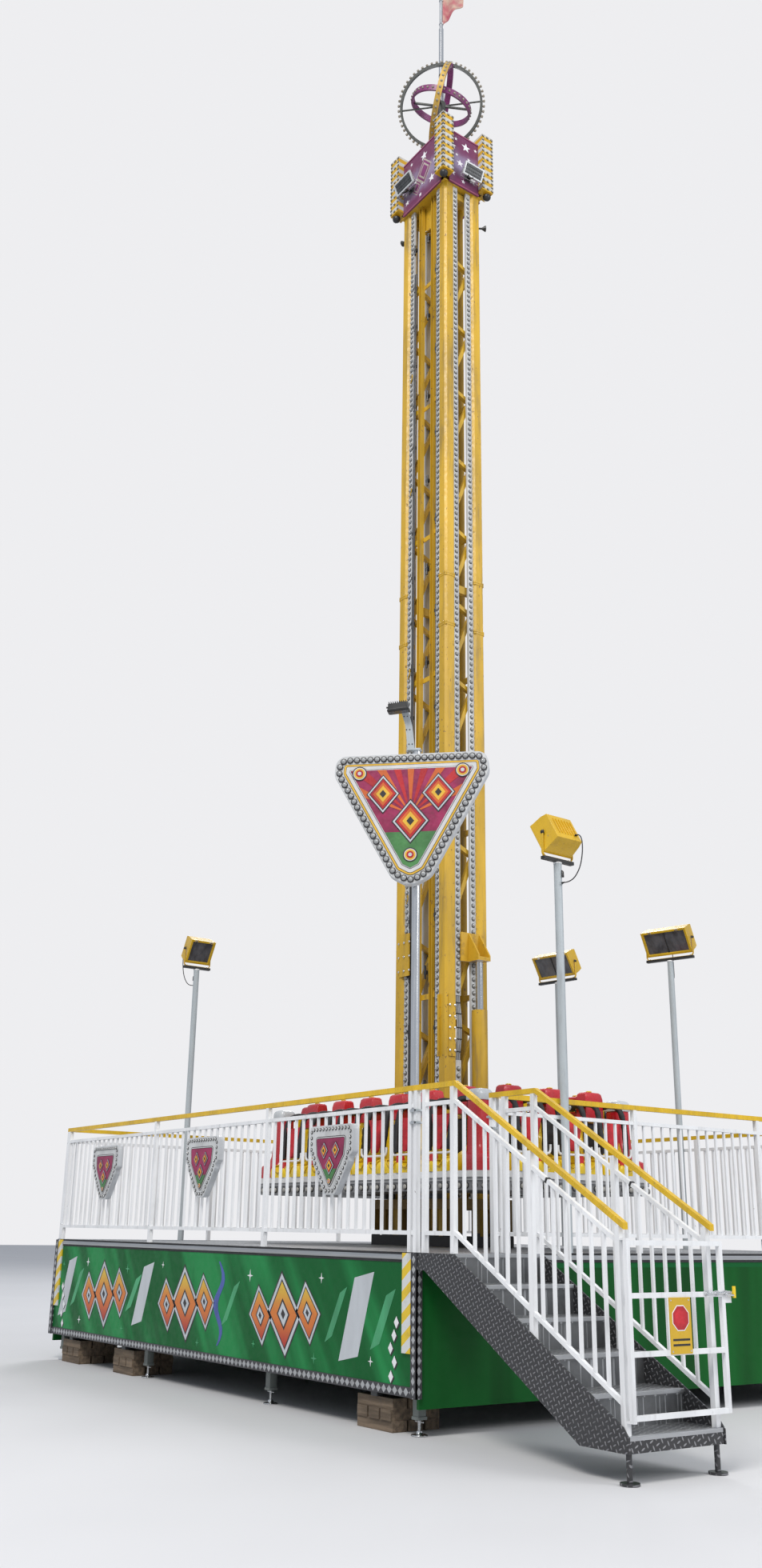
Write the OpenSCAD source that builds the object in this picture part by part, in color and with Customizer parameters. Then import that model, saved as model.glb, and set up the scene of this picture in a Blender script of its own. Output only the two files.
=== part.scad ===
// Family drop tower ride: a raised fenced deck, a slender box tower with a lit crown,
// and a rectangular eighteen seat gondola that runs up and down the tower.
// The origin is on the ground at the tower axis, +X to the stair end, -Y to the front.

/* [Deck] */
// Length of the deck along X
deck_l = 6710; // [6400:10:7200]
// Width of the deck along Y
deck_w = 5700; // [5400:10:6200]
// Height of the walking surface above the ground
deck_z = 1240; // [1180:5:1320]
// Thickness of the floor plate
floor_t = 40; // [20:1:60]
// Height of the moulded edge rail
edge_h = 110; // [80:1:130]
// Depth of the moulded edge rail
edge_t = 45; // [36:1:70]
// Projection of the bead round the edge rail
bead_t = 6; // [3:1:9]
// Thickness of the fascia and skirt sheets
sheet_t = 30; // [10:1:34]
// Set back of the sheets behind the edge rail's face
sheet_in = 10; // [4:1:16]
// Ground clearance under the front fascia
fascia_z = 260; // [200:5:320]
// Ground clearance under the side skirts
skirt_z = 187; // [150:1:260]
// Height of the chequer plate strip along the foot of the fascia
kick_h = 70; // [40:1:100]
// Thickness of the chequer plate and the hazard strips
trim_t = 5; // [2:0.5:8]
// Width of each hazard strip
hazard_w = 110; // [80:1:140]
// Bottom of the hazard strips above the ground
hazard_z = 550; // [450:5:700]
// Distance from the deck's end to the hazard strip
hazard_in = 30; // [10:1:60]

/* [Chassis] */
// Width of each chassis beam
beam_w = 80; // [60:1:120]
// Depth of the outer and cross beams
beam_h = 160; // [120:1:200]
// Depth of the two main chassis rails
chassis_h = 380; // [300:5:440]
// Width of the two main chassis rails
chassis_w = 110; // [80:1:140]
// Distance of each main rail from the centre line
chassis_y = 620; // [450:5:800]
// Number of cross beams
cross_n = 7; // [5:1:9]
// Width of the square jack legs
jack_w = 100; // [80:1:120]
// Length of the square jack leg above the screw
jack_l = 620; // [500:5:700]
// Diameter of the jack screws
screw_d = 50; // [30:1:70]
// Diameter of the foot plates
pad_d = 260; // [180:5:320]
// Thickness of the foot plates
pad_t = 20; // [12:1:30]
// Side of each timber stack
timber_s = 450; // [300:10:500]
// Thickness of one timber layer
timber_t = 75; // [50:1:90]

/* [Stair] */
// Width of the stair over its stringers
stair_w = 850; // [750:10:1000]
// Thickness of the stringer plates
stringer_t = 12; // [8:1:20]
// Going of each tread
tread_go = 330; // [300:1:345]
// Rise between treads
tread_rise = 196; // [180:1:205]
// Depth of each tread plate
tread_d = 345; // [320:1:360]
// Thickness of each tread plate
tread_t = 34; // [20:1:45]
// Thickness of the riser plates between the treads
riser_t = 6; // [4:1:10]
// Length of the landing plate at deck level
top_l = 430; // [380:1:480]
// Depth of the stringer plates measured upright
stringer_h = 300; // [260:1:360]

/* [Fence] */
// Height of the yellow handrail's centre above the deck
hand_h = 1185; // [1100:5:1250]
// Width and height of the handrail section
hand_w = 40; // [30:1:48]
// Height of the white top bar's centre above the deck
topbar_h = 1055; // [980:5:1100]
// Height of the white bottom bar's centre above the deck
lowbar_h = 137; // [90:1:180]
// Section of the white bars
bar_w = 30; // [20:1:36]
// Section of the balusters
bal_w = 20; // [14:1:28]
// Pitch of the balusters
bal_pitch = 115; // [100:1:140]
// Section of the fence posts
post_w = 40; // [36:1:50]
// Longest bay between two fence posts
bay_l = 2250; // [2220:10:2400]
// Width of each triangular fence sign
fsign_w = 640; // [500:5:800]
// Height of each triangular fence sign
fsign_h = 565; // [450:5:700]
// Thickness of each triangular fence sign
fsign_t = 60; // [40:1:80]
// Corner radius of each triangular fence sign
fsign_r = 60; // [30:1:90]
// Height of the gate
gate_h = 1012; // [900:1:1060]
// Width of the gate
gate_l = 870; // [820:1:900]
// Section of the gate's bars
gate_t = 30; // [20:1:36]
// Width of the plate on the gate
gplate_w = 190; // [150:1:240]
// Height of the plate on the gate
gplate_h = 324; // [280:1:330]

/* [Corner sign] */
// Diameter of the steel mast
mast_d = 66; // [50:1:80]
// Height of the sign's lower tip above the ground
sign_z = 4010; // [3800:10:4200]
// Height of the sign
sign_h = 1140; // [1000:10:1300]
// Width of the sign
sign_w = 1265; // [1100:5:1400]
// Thickness of the sign
sign_t = 80; // [50:1:110]
// Corner radius of the sign
sign_r = 110; // [60:1:150]
// Length of the lamp arm over the sign
arm_l = 480; // [400:5:560]

/* [Tower] */
// Width of the tower along X over its posts
tower_w = 940; // [900:1:980]
// Depth of the tower along Y over its posts
tower_d = 593; // [570:1:620]
// Section of each corner post
leg_w = 150; // [140:1:160]
// Chamfer on the post corners
leg_c = 26; // [10:1:36]
// Height of the top of the posts above the ground
tower_z = 14650; // [14400:10:14900]
// Width of the light strips
strip_w = 75; // [60:1:80]
// Thickness of the light strips
strip_t = 30; // [16:1:36]
// Height of one lattice bay
lattice_p = 1000; // [960:5:1040]
// Height of the top lattice apex above the ground
apex_z = 13410; // [13300:5:13500]
// Section of the lattice bars
lat_w = 50; // [36:1:60]
// Drop of the flat lattice bar across the face
flat_drop = 130; // [80:1:180]
// Drop of the steep lattice bar across the face
steep_drop = 740; // [640:5:800]
// Distance of the two guide rails from the tower's centre plane
guide_x = 130; // [110:1:160]
// Section of the guide rails
guide_w = 60; // [40:1:70]
// Pitch of the ties that hold the guide rails
tie_p = 1900; // [1700:10:2100]
// Diameter of the hoist ropes
rope_d = 16; // [10:1:24]
// Height of the base frame above the deck
base_h = 460; // [430:1:460]
// Half length of the base frame along X
base_x = 750; // [730:1:770]
// Section of the base frame bars along its ends
base_w = 74; // [60:1:90]
// Diameter of the erecting cylinder
cyl_d = 170; // [140:1:180]
// Height of the cylinder's head above the ground
cyl_z = 3640; // [3500:10:3800]
// Diameter of the chrome rod
rod_d = 80; // [60:1:90]
// Height of the lower end of the hinge cheeks above the ground
hinge_z = 3140; // [3000:10:3300]
// Length of the hinge cheeks
hinge_l = 660; // [560:10:700]
// Height of the lower end of the splice plate above the ground
splice_z = 4080; // [4000:10:4200]
// Length of the splice plate
splice_l = 480; // [400:10:560]
// Thickness of the splice plate and the cheeks
splice_t = 12; // [8:1:20]
// Diameter of the supply hoses
hose_d = 22; // [14:1:26]
// Height of the underside of the rod bracket above the ground
bracket_z = 4170; // [4100:5:4300]

/* [Crown] */
// Half length of the crown box along X
crown_x = 500; // [490:1:520]
// Half length of the crown box along Y
crown_y = 340; // [330:1:360]
// Height of the crown box
crown_h = 870; // [800:5:950]
// Thickness of the crown panels
crown_t = 20; // [10:1:30]
// Side of each corner lamp block
lamp_w = 180; // [150:1:200]
// Height of each corner lamp block
lamp_h = 940; // [880:5:1000]
// Height of the common centre of the rings above the ground
ring_z = 16470; // [16400:10:16550]
// Outer radius of the bulb ring
ring_r = 585; // [560:1:610]
// Radial thickness of the rings
ring_t = 30; // [16:1:34]
// Width of the bulb ring
ring_w = 50; // [30:1:70]
// Width of the two ribbon rings
ribbon_w = 80; // [60:1:90]
// Outer radius of the tilted ribbon ring
tilt_r = 430; // [400:1:450]
// Height of the top of the flagpole above the ground
pole_z = 18980; // [18800:10:19200]
// Diameter of the flagpole's socket
pole_d = 90; // [76:1:110]

/* [Gondola] */
// Length of the platform along X
plat_l = 4300; // [4260:10:4360]
// Width of the platform along Y
plat_w = 2300; // [2280:10:2360]
// Corner radius of the platform
plat_r = 400; // [360:1:420]
// Height of the platform's top above the ground at rest
plat_z = 1917; // [1915:1:1940]
// Thickness of the light coloured lip
lip_t = 57; // [50:1:60]
// Thickness of the grey band under the lip
band_t = 30; // [20:1:34]
// Height of the bulb band under the grey band
bulb_t = 84; // [70:1:84]
// Half length of the opening round the tower along X
well_x = 930; // [920:1:960]
// Half width of the opening round the tower along Y
well_y = 530; // [525:1:560]
// Section of the carriage tubes
tube_w = 80; // [60:1:80]
// Height of the upper carriage ring's top above the ground at rest
upper_z = 2400; // [2380:1:2430]
// Radius of the guide rollers
roller_r = 55; // [45:1:60]
// Running clearance between the rollers and the posts
roller_gap = 0.5; // [0.3:0.1:1]
// Width of the guide rollers
roller_w = 60; // [50:1:64]
// Gap between a moving piece and the seat that carries it
seat_gap = 0.3; // [0.2:0.05:0.6]

/* [Seats] */
// Gap between neighbouring seat shells
seat_slit = 14; // [8:1:24]
// Distance from the platform's edge in to the back of each row
row_in = 530; // [525:1:540]
// Clearance between the front rows' ends and the side rows' backs
row_clear = 30; // [20:1:60]
// Thickness of the seat wings
wing_t = 70; // [50:1:80]
// Height of the seat back above the platform
back_h = 545; // [520:1:560]
// Width of each head box
head_w = 240; // [200:1:250]
// Height of each head box
head_h = 262; // [230:1:280]
// Depth of each head box
head_d = 140; // [110:1:150]
// Thickness of the back pads
pad_back = 45; // [30:1:55]
// Side of the corner columns
col_w = 200; // [180:1:200]
// Clearance between a column and the end of the front row
col_clear_x = 55; // [40:1:70]
// Clearance between a column and the end of the side row
col_clear_y = 10; // [7:1:20]
// Height of the flared foot of each column
foot_h = 150; // [120:5:180]
// Offset of the flared foot from the column's centre line
foot_out = 90; // [70:1:100]
// Height of the columns above the platform
col_h = 643; // [600:1:700]

/* [Restraints] */
// Diameter of the shoulder shaft of a row
shaft_d = 32; // [24:1:36]
// Clearance round the shoulder shaft
shaft_gap = 0.3; // [0.2:0.05:1]
// Height of the shoulder shaft above the platform
shaft_h = 660; // [650:1:680]
// Distance of the shoulder shaft in front of the seat's back
shaft_v = 12; // [5:1:15]
// Distance of each shoulder arm from the seat's centre
arm_u = 156; // [154:1:160]
// Thickness of the shoulder arms
arm_t = 36; // [30:1:38]
// Reach of the shoulder arms in front of the seat's back
arm_v = 400; // [380:1:420]
// Length of the arms below the shoulder
arm_d = 470; // [430:1:480]
// Length of the grab bar
grab_l = 430; // [400:1:440]
// Diameter of the grab bar
grab_d = 28; // [22:1:32]

/* [Masts] */
// Diameter of the four floodlight masts
fmast_d = 70; // [60:1:76]
// Height of the floodlight masts above the ground
fmast_z = 4450; // [4300:10:4600]
// Width of the floodlights on the two side fences
flood_w = 340; // [300:5:400]
// Width of the twin floodlights on the back fence
twin_w = 590; // [540:5:640]
// Height of each floodlight
flood_h = 310; // [270:5:340]
// Depth of each floodlight
flood_t = 190; // [150:5:220]
// Downward tilt of each floodlight in degrees
flood_a = 22; // [10:1:25]

/* [Hidden] */
$fn = 48;
hx = deck_l / 2;
hy = deck_w / 2;
frame_z = deck_z - floor_t;
fence_front_y = -hy + edge_t - 15;
fence_back_y = hy - 50;
fence_left_x = -hx + 35;
fence_right_x = hx - 90;
hand_z = deck_z + hand_h;
stair_in = stair_w - 2 * stringer_t;
stair_y0 = -hy;
stair_n = 5;
stair_x0 = hx + top_l;
stair_x1 = hx + top_l + stair_n * tread_go - 30;
slope = tread_rise / tread_go;
rail_y = [stair_y0 + stringer_t + post_w / 2, stair_y0 + stair_w - stringer_t - post_w / 2];
stair_post_x = [hx + 400, hx + 1230, hx + 2030];
leg_x = (tower_w - leg_w) / 2;
leg_y = (tower_d - leg_w) / 2;
base_z = deck_z + base_h;
lamp_z = tower_z + 70;
crown_top = tower_z + crown_h;
ribbon_r = ring_r - ring_t;
ring_x = well_x - tube_w;
ring_y = well_y - tube_w;
low_z = plat_z - 17;
roller_y = tower_d / 2 + roller_gap + roller_r;
roller_x = leg_x + 20;
shaft_z = plat_z + shaft_h;
row_y = plat_w / 2 - row_in;
row_x = plat_l / 2 - row_in;
seat_p = (row_x - row_clear) / 3;
seat_w = seat_p - seat_slit;
col_x = seat_p * 3 + col_clear_x + col_w / 2;
col_y = seat_p * 1.5 + col_clear_y + col_w / 2;
rows = [[180, row_y, 6], [0, row_y, 6], [90, row_x, 3], [-90, row_x, 3]];
cyl_x = tower_w / 2 + 12 + cyl_d / 2;
cyl_y = 85;
gate_x = stair_post_x[2] + post_w / 2 + 40;
gate_y = rail_y[0] - gate_t / 2;
mast_x = hx - 165;
mast_y = -hy + 40 + post_w / 2 + mast_d / 2 + 4;

// Rectangular bar centred on the line from p to q.
module beam(p, q, w, h) {
    d = q - p;
    l = norm(d);
    translate(p) rotate([0, acos(d[2] / l), atan2(d[1], d[0])])
        translate([-h / 2, -w / 2, 0]) cube([h, w, l]);
}

// Round bar centred on the line from p to q.
module tube(p, q, d) {
    e = q - p;
    l = norm(e);
    translate(p) rotate([0, acos(e[2] / l), atan2(e[1], e[0])]) cylinder(h = l, d = d);
}

// Rectangle with round corners, centred.
module rrect(l, w, r) {
    square([l - 2 * r, w], center = true);
    square([l, w - 2 * r], center = true);
    for (x = [-1, 1], y = [-1, 1]) translate([x * (l / 2 - r), y * (w / 2 - r)]) circle(r);
}

// Triangle standing on its tip, with round corners, w wide and h high.
module tri(w, h, r) {
    a = atan2(h, w / 2);
    hull() {
        translate([0, r / cos(a)]) circle(r);
        for (s = [-1, 1]) translate([s * (w / 2 - r / tan(a / 2) * 0.5 - r / 2), h - r]) circle(r);
    }
}

// Rectangular frame in plan, a by b over all, with bars w wide.
module frame2d(a, b, w) {
    difference() {
        square([a, b], center = true);
        square([a - 2 * w, b - 2 * w], center = true);
    }
}

// Side profile [v, z] swept across the width w of a seat, centred on u = 0.
module across(w) {
    translate([-w / 2, 0, 0]) rotate([90, 0, 90]) linear_extrude(w) children();
}

// Places a copy at the middle of every seat of one row.
module per_seat(n) {
    for (i = [0 : n - 1]) translate([(i - (n - 1) / 2) * seat_p, 0, 0]) children();
}

// Turns the row frame, with its back edge at y = 0, to the row's side of the gondola.
module row_at(r) {
    rotate([0, 0, r[0]]) translate([0, r[1], plat_z]) children();
}

module deck_frame() {
    color("dimgray") {
        translate([0, 0, frame_z - beam_h]) linear_extrude(beam_h)
            frame2d(deck_l - 2 * edge_t, deck_w - 2 * edge_t, beam_w);
        for (i = [1 : cross_n]) translate([-hx + i * deck_l / (cross_n + 1) - beam_w / 2,
            -hy + edge_t + 1, frame_z - beam_h]) cube([beam_w, deck_w - 2 * edge_t - 2, beam_h]);
    }
}

module chassis_rails() {
    color("dimgray") for (s = [-1, 1]) translate([-hx + edge_t, s * chassis_y - chassis_w / 2,
        frame_z - beam_h - chassis_h]) cube([deck_l - 2 * edge_t, chassis_w, chassis_h]);
}

module stack_posts() {
    color("dimgray") for (x = stack_x, s = [-1, 1]) translate([x - beam_w / 2,
        s * stack_post_y - beam_w / 2, timber_t * 3])
        cube([beam_w, beam_w, frame_z - beam_h - timber_t * 3]);
}
jack_x = hx * 0.344;
stack_x = [-hx + 510, -jack_x - 390, hx - 575];
stack_y = hy - sheet_in - sheet_t - timber_s / 2 - 5;
stack_post_y = hy - edge_t - beam_w / 2;

module deck_floor() {
    color("slategray") translate([0, 0, frame_z]) linear_extrude(floor_t)
        square([deck_l - 2 * edge_t, deck_w - 2 * edge_t], center = true);
}

module edge_rail() {
    color("silver") {
        translate([0, 0, deck_z - edge_h]) linear_extrude(edge_h) frame2d(deck_l, deck_w, edge_t);
        translate([0, 0, deck_z - edge_h * 0.7]) linear_extrude(edge_h * 0.35)
            difference() {
                square([deck_l + 2 * bead_t, deck_w + 2 * bead_t], center = true);
                square([deck_l - 1, deck_w - 1], center = true);
            }
    }
}

module front_fascia() {
    color("seagreen") translate([-hx + sheet_in, -hy + sheet_in, fascia_z])
        cube([deck_l - 2 * sheet_in, sheet_t, deck_z - edge_h - fascia_z]);
}

corner_w = hazard_in - sheet_in - 2;

module fascia_trim() {
    y = -hy + sheet_in - trim_t;
    color("silver") {
        translate([-hx + sheet_in, y, fascia_z]) cube([deck_l - 2 * sheet_in, trim_t, kick_h]);
        for (s = [-1, 1]) translate([s * (hx - (hazard_in + sheet_in) / 2) - corner_w / 2, y,
            fascia_z + kick_h]) cube([corner_w, trim_t, deck_z - edge_h - fascia_z - kick_h]);
    }
}

module hazard_strips() {
    color("gold") for (s = [-1, 1])
        translate([s * (hx - hazard_in - hazard_w / 2) - hazard_w / 2,
            -hy + sheet_in - trim_t, hazard_z])
            cube([hazard_w, trim_t, deck_z - edge_h - hazard_z]);
}

module side_skirts() {
    h = deck_z - edge_h - skirt_z;
    l = deck_w - sheet_in * 2 - sheet_t;
    color("seagreen") {
        for (s = [-1, 1]) translate([s * (hx - sheet_in - sheet_t / 2) - sheet_t / 2,
            -hy + sheet_in + sheet_t, skirt_z]) cube([sheet_t, l, h]);
        translate([-hx + sheet_in + sheet_t, hy - sheet_in - sheet_t, skirt_z])
            cube([deck_l - 2 * (sheet_in + sheet_t), sheet_t, h]);
    }
}

module jack() {
    top = frame_z - beam_h;
    cylinder(h = pad_t, d = pad_d);
    cylinder(h = top - jack_l + 20, d = screw_d);
    translate([0, 0, pad_t]) cylinder(h = 30, d = screw_d + 40);
    translate([-jack_w / 2, -jack_w / 2, top - jack_l]) cube([jack_w, jack_w, jack_l]);
}

module jack_legs() {
    color("dimgray") {
        for (x = [-hx + 140, -jack_x, jack_x, hx - 140], s = [-1, 1])
            translate([x, s * (hy - 130), 0]) jack();
        cylinder(h = pad_t, d = pad_d + 140);
        cylinder(h = frame_z - beam_h - 200, d = screw_d * 2);
        translate([-beam_w, -jack_w, frame_z - beam_h - 300]) cube([beam_w * 2, jack_w * 2, 300]);
        translate([-beam_w, -chassis_y + chassis_w / 2, frame_z - beam_h - 300])
            cube([beam_w * 2, 2 * chassis_y - chassis_w, beam_h]);
    }
}

module timber_blocks() {
    color("peru") for (x = stack_x, s = [-1, 1]) translate([x, s * stack_y, 0]) {
        for (k = [0, 2], y = [-1, 0, 1]) translate([-timber_s / 2, y * timber_s / 3 - timber_s / 7,
            k * timber_t]) cube([timber_s, timber_s / 3.5, timber_t]);
        for (x2 = [-1, 0, 1]) translate([x2 * timber_s / 3 - timber_s / 7, -timber_s / 2,
            timber_t]) cube([timber_s / 3.5, timber_s, timber_t]);
    }
}

// Slope of a stair line that stands h above the nosings at the plan distance x.
function stair_line(x, h) = deck_z + h - max(0, x - stair_x0) * slope;

module stair_stringers() {
    foot = stair_x1 + 25;
    color("silver") for (y = [stair_y0, stair_y0 + stair_w - stringer_t])
        translate([0, y + stringer_t, 0]) rotate([90, 0, 0]) linear_extrude(stringer_t)
            polygon([[hx + bead_t, deck_z], [stair_x0, deck_z], [foot - 45, stair_line(foot - 45, 20)],
                [foot, stair_line(foot, -10)], [foot, 168], [foot - 420, 168],
                [hx + 90, deck_z - 120], [hx + bead_t, deck_z - 120]]);
    color("dimgray") for (s = [0, 1]) translate([stair_x1 - 20,
        stair_y0 + stringer_t + 30 + s * (stair_in - 60), 0]) {
        cylinder(h = 14, d = 120);
        cylinder(h = deck_z - stair_n * tread_rise - tread_t, d = 36);
    }
}

module stair_treads() {
    color("silver") {
        translate([hx, stair_y0 + stringer_t, deck_z - tread_t]) cube([top_l, stair_in, tread_t]);
        for (i = [1 : stair_n]) translate([stair_x0 + (i - 1) * tread_go - 10,
            stair_y0 + stringer_t, deck_z - i * tread_rise - tread_t])
            cube([i == stair_n ? tread_d - 20 : tread_d, stair_in, tread_t]);
        for (i = [1 : stair_n]) translate([stair_x0 + (i - 1) * tread_go - 10,
            stair_y0 + stringer_t, deck_z - i * tread_rise - 1])
            cube([riser_t, stair_in, tread_rise - tread_t + 2]);
    }
}

// One sloping stair rail bar, w square, with its centre h above the nosing line.
module stair_bar(y, x0, x1, h, w) {
    translate([0, y + w / 2, 0]) rotate([90, 0, 0]) linear_extrude(w)
        polygon(concat([for (x = [x0, stair_x0, x1]) [x, stair_line(x, h + w / 2)]],
            [for (x = [x1, stair_x0, x0]) [x, stair_line(x, h - w / 2)]]));
}

module stair_rails() {
    color("white") for (y = rail_y) {
        stair_bar(y, hx + 60, stair_post_x[2], topbar_h, bar_w);
        stair_bar(y, hx + 60, stair_post_x[2], lowbar_h, bar_w);
        for (k = [0 : 2]) {
            x = stair_post_x[k];
            i = x < stair_x0 ? 0 : floor((x - stair_x0 + 10) / tread_go) + 1;
            translate([x - post_w / 2, y - post_w / 2, deck_z - i * tread_rise])
                cube([post_w, post_w, stair_line(x, hand_h) - deck_z + i * tread_rise
                    - hand_w / 2 - (x > stair_x0 ? post_w / 2 * slope : 0)]);
        }
        translate([hx + 60 - post_w / 2, y - post_w / 2, deck_z])
            cube([post_w, post_w, hand_h - hand_w / 2]);
        for (x = [hx + 60 + bal_pitch : bal_pitch : stair_post_x[2] - 60])
            translate([x - bal_w / 2, y - bal_w / 2, stair_line(x, lowbar_h)])
                cube([bal_w, bal_w, topbar_h - lowbar_h]);
    }
    color("silver") for (z = [stair_foot - seat_gap - 12, stair_foot + gate_h + seat_gap])
        difference() {
            translate([stair_post_x[2] + post_w / 2, gate_y, z]) cube([40 + gate_t / 2, gate_t, 12]);
            translate([gate_x, gate_y + gate_t / 2, z - 1]) cylinder(h = 14, d = gate_pin + 1);
        }
}
gate_pin = 16;
stair_foot = 345;

module handrails() {
    z = hand_z - hand_w / 2;
    x0 = fence_left_x;
    x1 = fence_right_x;
    y0 = stair_y0 + stair_w - stringer_t - post_w / 2;
    color("gold") {
        translate([x0 - hand_w / 2, fence_front_y - hand_w / 2, z])
            cube([hx + 60 - x0, hand_w, hand_w]);
        translate([x0 - hand_w / 2, fence_front_y - hand_w / 2, z])
            cube([hand_w, fence_back_y - fence_front_y + hand_w, hand_w]);
        translate([x0 - hand_w / 2, fence_back_y - hand_w / 2, z])
            cube([x1 - x0 + hand_w, hand_w, hand_w]);
        translate([x1 - hand_w / 2, y0 - hand_w / 2, z])
            cube([hand_w, fence_back_y - y0 + hand_w, hand_w]);
        translate([x1 - hand_w / 2, y0 - hand_w / 2, z]) cube([hx + 60 - x1, hand_w, hand_w]);
        for (y = rail_y) stair_bar(y, hx + 60 - hand_w, stair_post_x[2] + 60, hand_h, hand_w);
    }
}

// Fence panel along +X from 0 to l: posts, two bars and balusters, all in one piece.
module fence(l, post_at) {
    for (x = post_at) translate([x - post_w / 2, -post_w / 2, deck_z])
        cube([post_w, post_w, hand_h - hand_w / 2]);
    for (h = [lowbar_h, topbar_h]) translate([0, -bar_w / 2, deck_z + h - bar_w / 2])
        cube([l, bar_w, bar_w]);
    n = floor(l / bal_pitch);
    for (i = [0 : n]) translate([i * l / n - (i == 0 ? 0 : i == n ? bal_w : bal_w / 2),
        -bal_w / 2, deck_z + lowbar_h]) cube([bal_w, bal_w, topbar_h - lowbar_h]);
}

function bays(l) = let (n = ceil(l / bay_l)) [for (i = [0 : n])
    i * l / n + (i == 0 ? post_w / 2 : i == n ? -post_w / 2 : 0)];

module fence_front() {
    x0 = fence_left_x + post_w / 2;
    l = hx - 20 - x0;
    color("white") translate([x0, fence_front_y, 0]) fence(l, concat(bays(l), [l - 90]));
}

module fence_left() {
    l = fence_back_y - fence_front_y + post_w;
    color("white") translate([fence_left_x, fence_front_y - post_w / 2, 0]) rotate([0, 0, 90])
        fence(l, bays(l));
}

module fence_right() {
    y0 = stair_y0 + stair_w - stringer_t - post_w;
    l = fence_back_y - post_w / 2 - y0;
    color("white") translate([fence_right_x, y0, 0]) rotate([0, 0, 90])
        fence(l, concat(bays(l), [90]));
}

module fence_back() {
    x0 = fence_left_x + post_w / 2;
    l = fence_right_x + post_w / 2 - x0;
    color("white") translate([x0, fence_back_y, 0]) fence(l, bays(l));
}

fsign_x = [2235, 30, -2145];
fsign_z = 1635;

// Sign outline: a wide head with a waist, over a point that is cut off.
module sign2d(w, h, r) {
    a = w / 2;
    polygon([[-a + r / 4, h], [a - r / 4, h], [a, h - r / 4], [a, h * 0.6], [a * 0.84, h * 0.55],
        [a * 0.84, h * 0.48], [a * 0.3, r / 2], [a * 0.12, 0], [-a * 0.12, 0], [-a * 0.3, r / 2],
        [-a * 0.84, h * 0.48], [-a * 0.84, h * 0.55], [-a, h * 0.6], [-a, h - r / 4]]);
}

module fence_signs() {
    y = fence_front_y - bal_w / 2;
    color("gold") for (x = fsign_x) translate([x, y, fsign_z]) rotate([90, 0, 0])
        linear_extrude(fsign_t) sign2d(fsign_w, fsign_h, fsign_r);
}

// Frame of the corner sign: x across the sign, -y out of its face.
module sign_at() {
    translate([mast_x, mast_y, 0]) rotate([0, 0, 45]) children();
}

module sign_mast() {
    color("lightgray") sign_at() {
        translate([0, 0, deck_z]) cylinder(h = sign_z + sign_h + 60 - deck_z, d = mast_d);
        translate([0, 0, deck_z]) cylinder(h = 12, d = mast_d + 8);
        for (z = [0.3, 0.75]) translate([-90, -mast_d / 2 - 10, sign_z + sign_h * z])
            cube([180, 20, 50]);
    }
}

module sign_board() {
    color("gold") sign_at() translate([-30, -mast_d / 2 - 10, sign_z]) rotate([90, 0, 0])
        linear_extrude(sign_t) tri(sign_w, sign_h, sign_r);
}

module sign_floodlight() {
    z = sign_z + sign_h + 60;
    color("dimgray") sign_at() {
        translate([0, 0, z]) cylinder(h = 20, d = mast_d + 20);
        beam([0, 0, z + 10], [-110, -20, z + arm_l - 90], 34, 60);
        translate([-150, -60, z + arm_l - 130]) cube([80, 70, 90]);
        translate([-245, -140, z + arm_l - 145]) cube([190, 130, 92]);
    }
}

module leg2d() {
    h = leg_w / 2;
    polygon([[h - leg_c, -h], [h, -h + leg_c], [h, h - leg_c], [h - leg_c, h],
        [-h + leg_c, h], [-h, h - leg_c], [-h, -h + leg_c], [-h + leg_c, -h]]);
}

module tower_base() {
    ye = tower_d / 2;
    color("sienna") {
        for (z = [deck_z, base_z - 100], s = [-1, 1]) {
            translate([-base_x, s * (ye + 32) - 32, z]) cube([2 * base_x, 64, 100]);
            translate([s * (base_x - base_w / 2) - base_w / 2, -ye - 64, z])
                cube([base_w, 2 * ye + 128, 100]);
        }
        for (x = [-base_x + base_w / 2, -tower_w / 2 - 60, -230, 180, tower_w / 2 + 60 + 0,
            base_x - base_w / 2], s = [-1, 1])
            translate([x - 32, s * (ye + 32) - 32, deck_z]) cube([64, 64, base_h]);
        for (s = [-1, 1], y = [-110, 110]) translate([s * (base_x - base_w / 2) - 32, y - 30,
            deck_z]) cube([64, 60, base_h]);
        translate([-180, -130, deck_z]) cube([360, 260, 120]);
        for (s = [-1, 1]) translate([-30, s * 130 - 15, deck_z + 120]) cube([60, 30, 1]);
        for (s = [-1, 1]) translate([-160, s > 0 ? 129 : -ye - 1, deck_z])
            cube([320, ye - 128, 60]);
    }
}

module tower_posts() {
    color("goldenrod") for (x = [-1, 1], y = [-1, 1]) translate([x * leg_x, y * leg_y, deck_z])
        linear_extrude(tower_z - deck_z) leg2d();
}

bays_n = 12;

// Flat bar from p to q in a plane, w wide.
module bar2d(p, q, w) {
    d = q - p;
    n = [-d[1], d[0]] / norm(d) * w / 2;
    polygon([p + n, q + n, q - n, p - n]);
}

// Zigzag of flat and steep bars between the two posts of one tower side.
module lattice() {
    ye = leg_y - leg_w / 2;
    over = 40;
    translate([leg_x - lat_w, 0, 0]) rotate([90, 0, 90]) linear_extrude(lat_w) intersection() {
        union() {
            for (i = [0 : bays_n - 1]) {
                z = apex_z - i * lattice_p;
                bar2d([-ye - over, z + flat_drop * (1 + over / ye / 2)],
                    [ye + over, z - flat_drop * over / ye / 2], lat_w);
                bar2d([ye + over, z - lat_w / 2 + steep_drop * over / ye / 2],
                    [-ye - over, z - lat_w / 2 - steep_drop * (1 + over / ye / 2)], lat_w);
            }
            for (z = [base_z + 60, tower_z - 120, apex_z - 4.75 * lattice_p])
                translate([-ye, z]) square([2 * ye, 100]);
        }
        translate([-ye, base_z]) square([2 * ye, tower_z - base_z]);
    }
}

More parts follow.
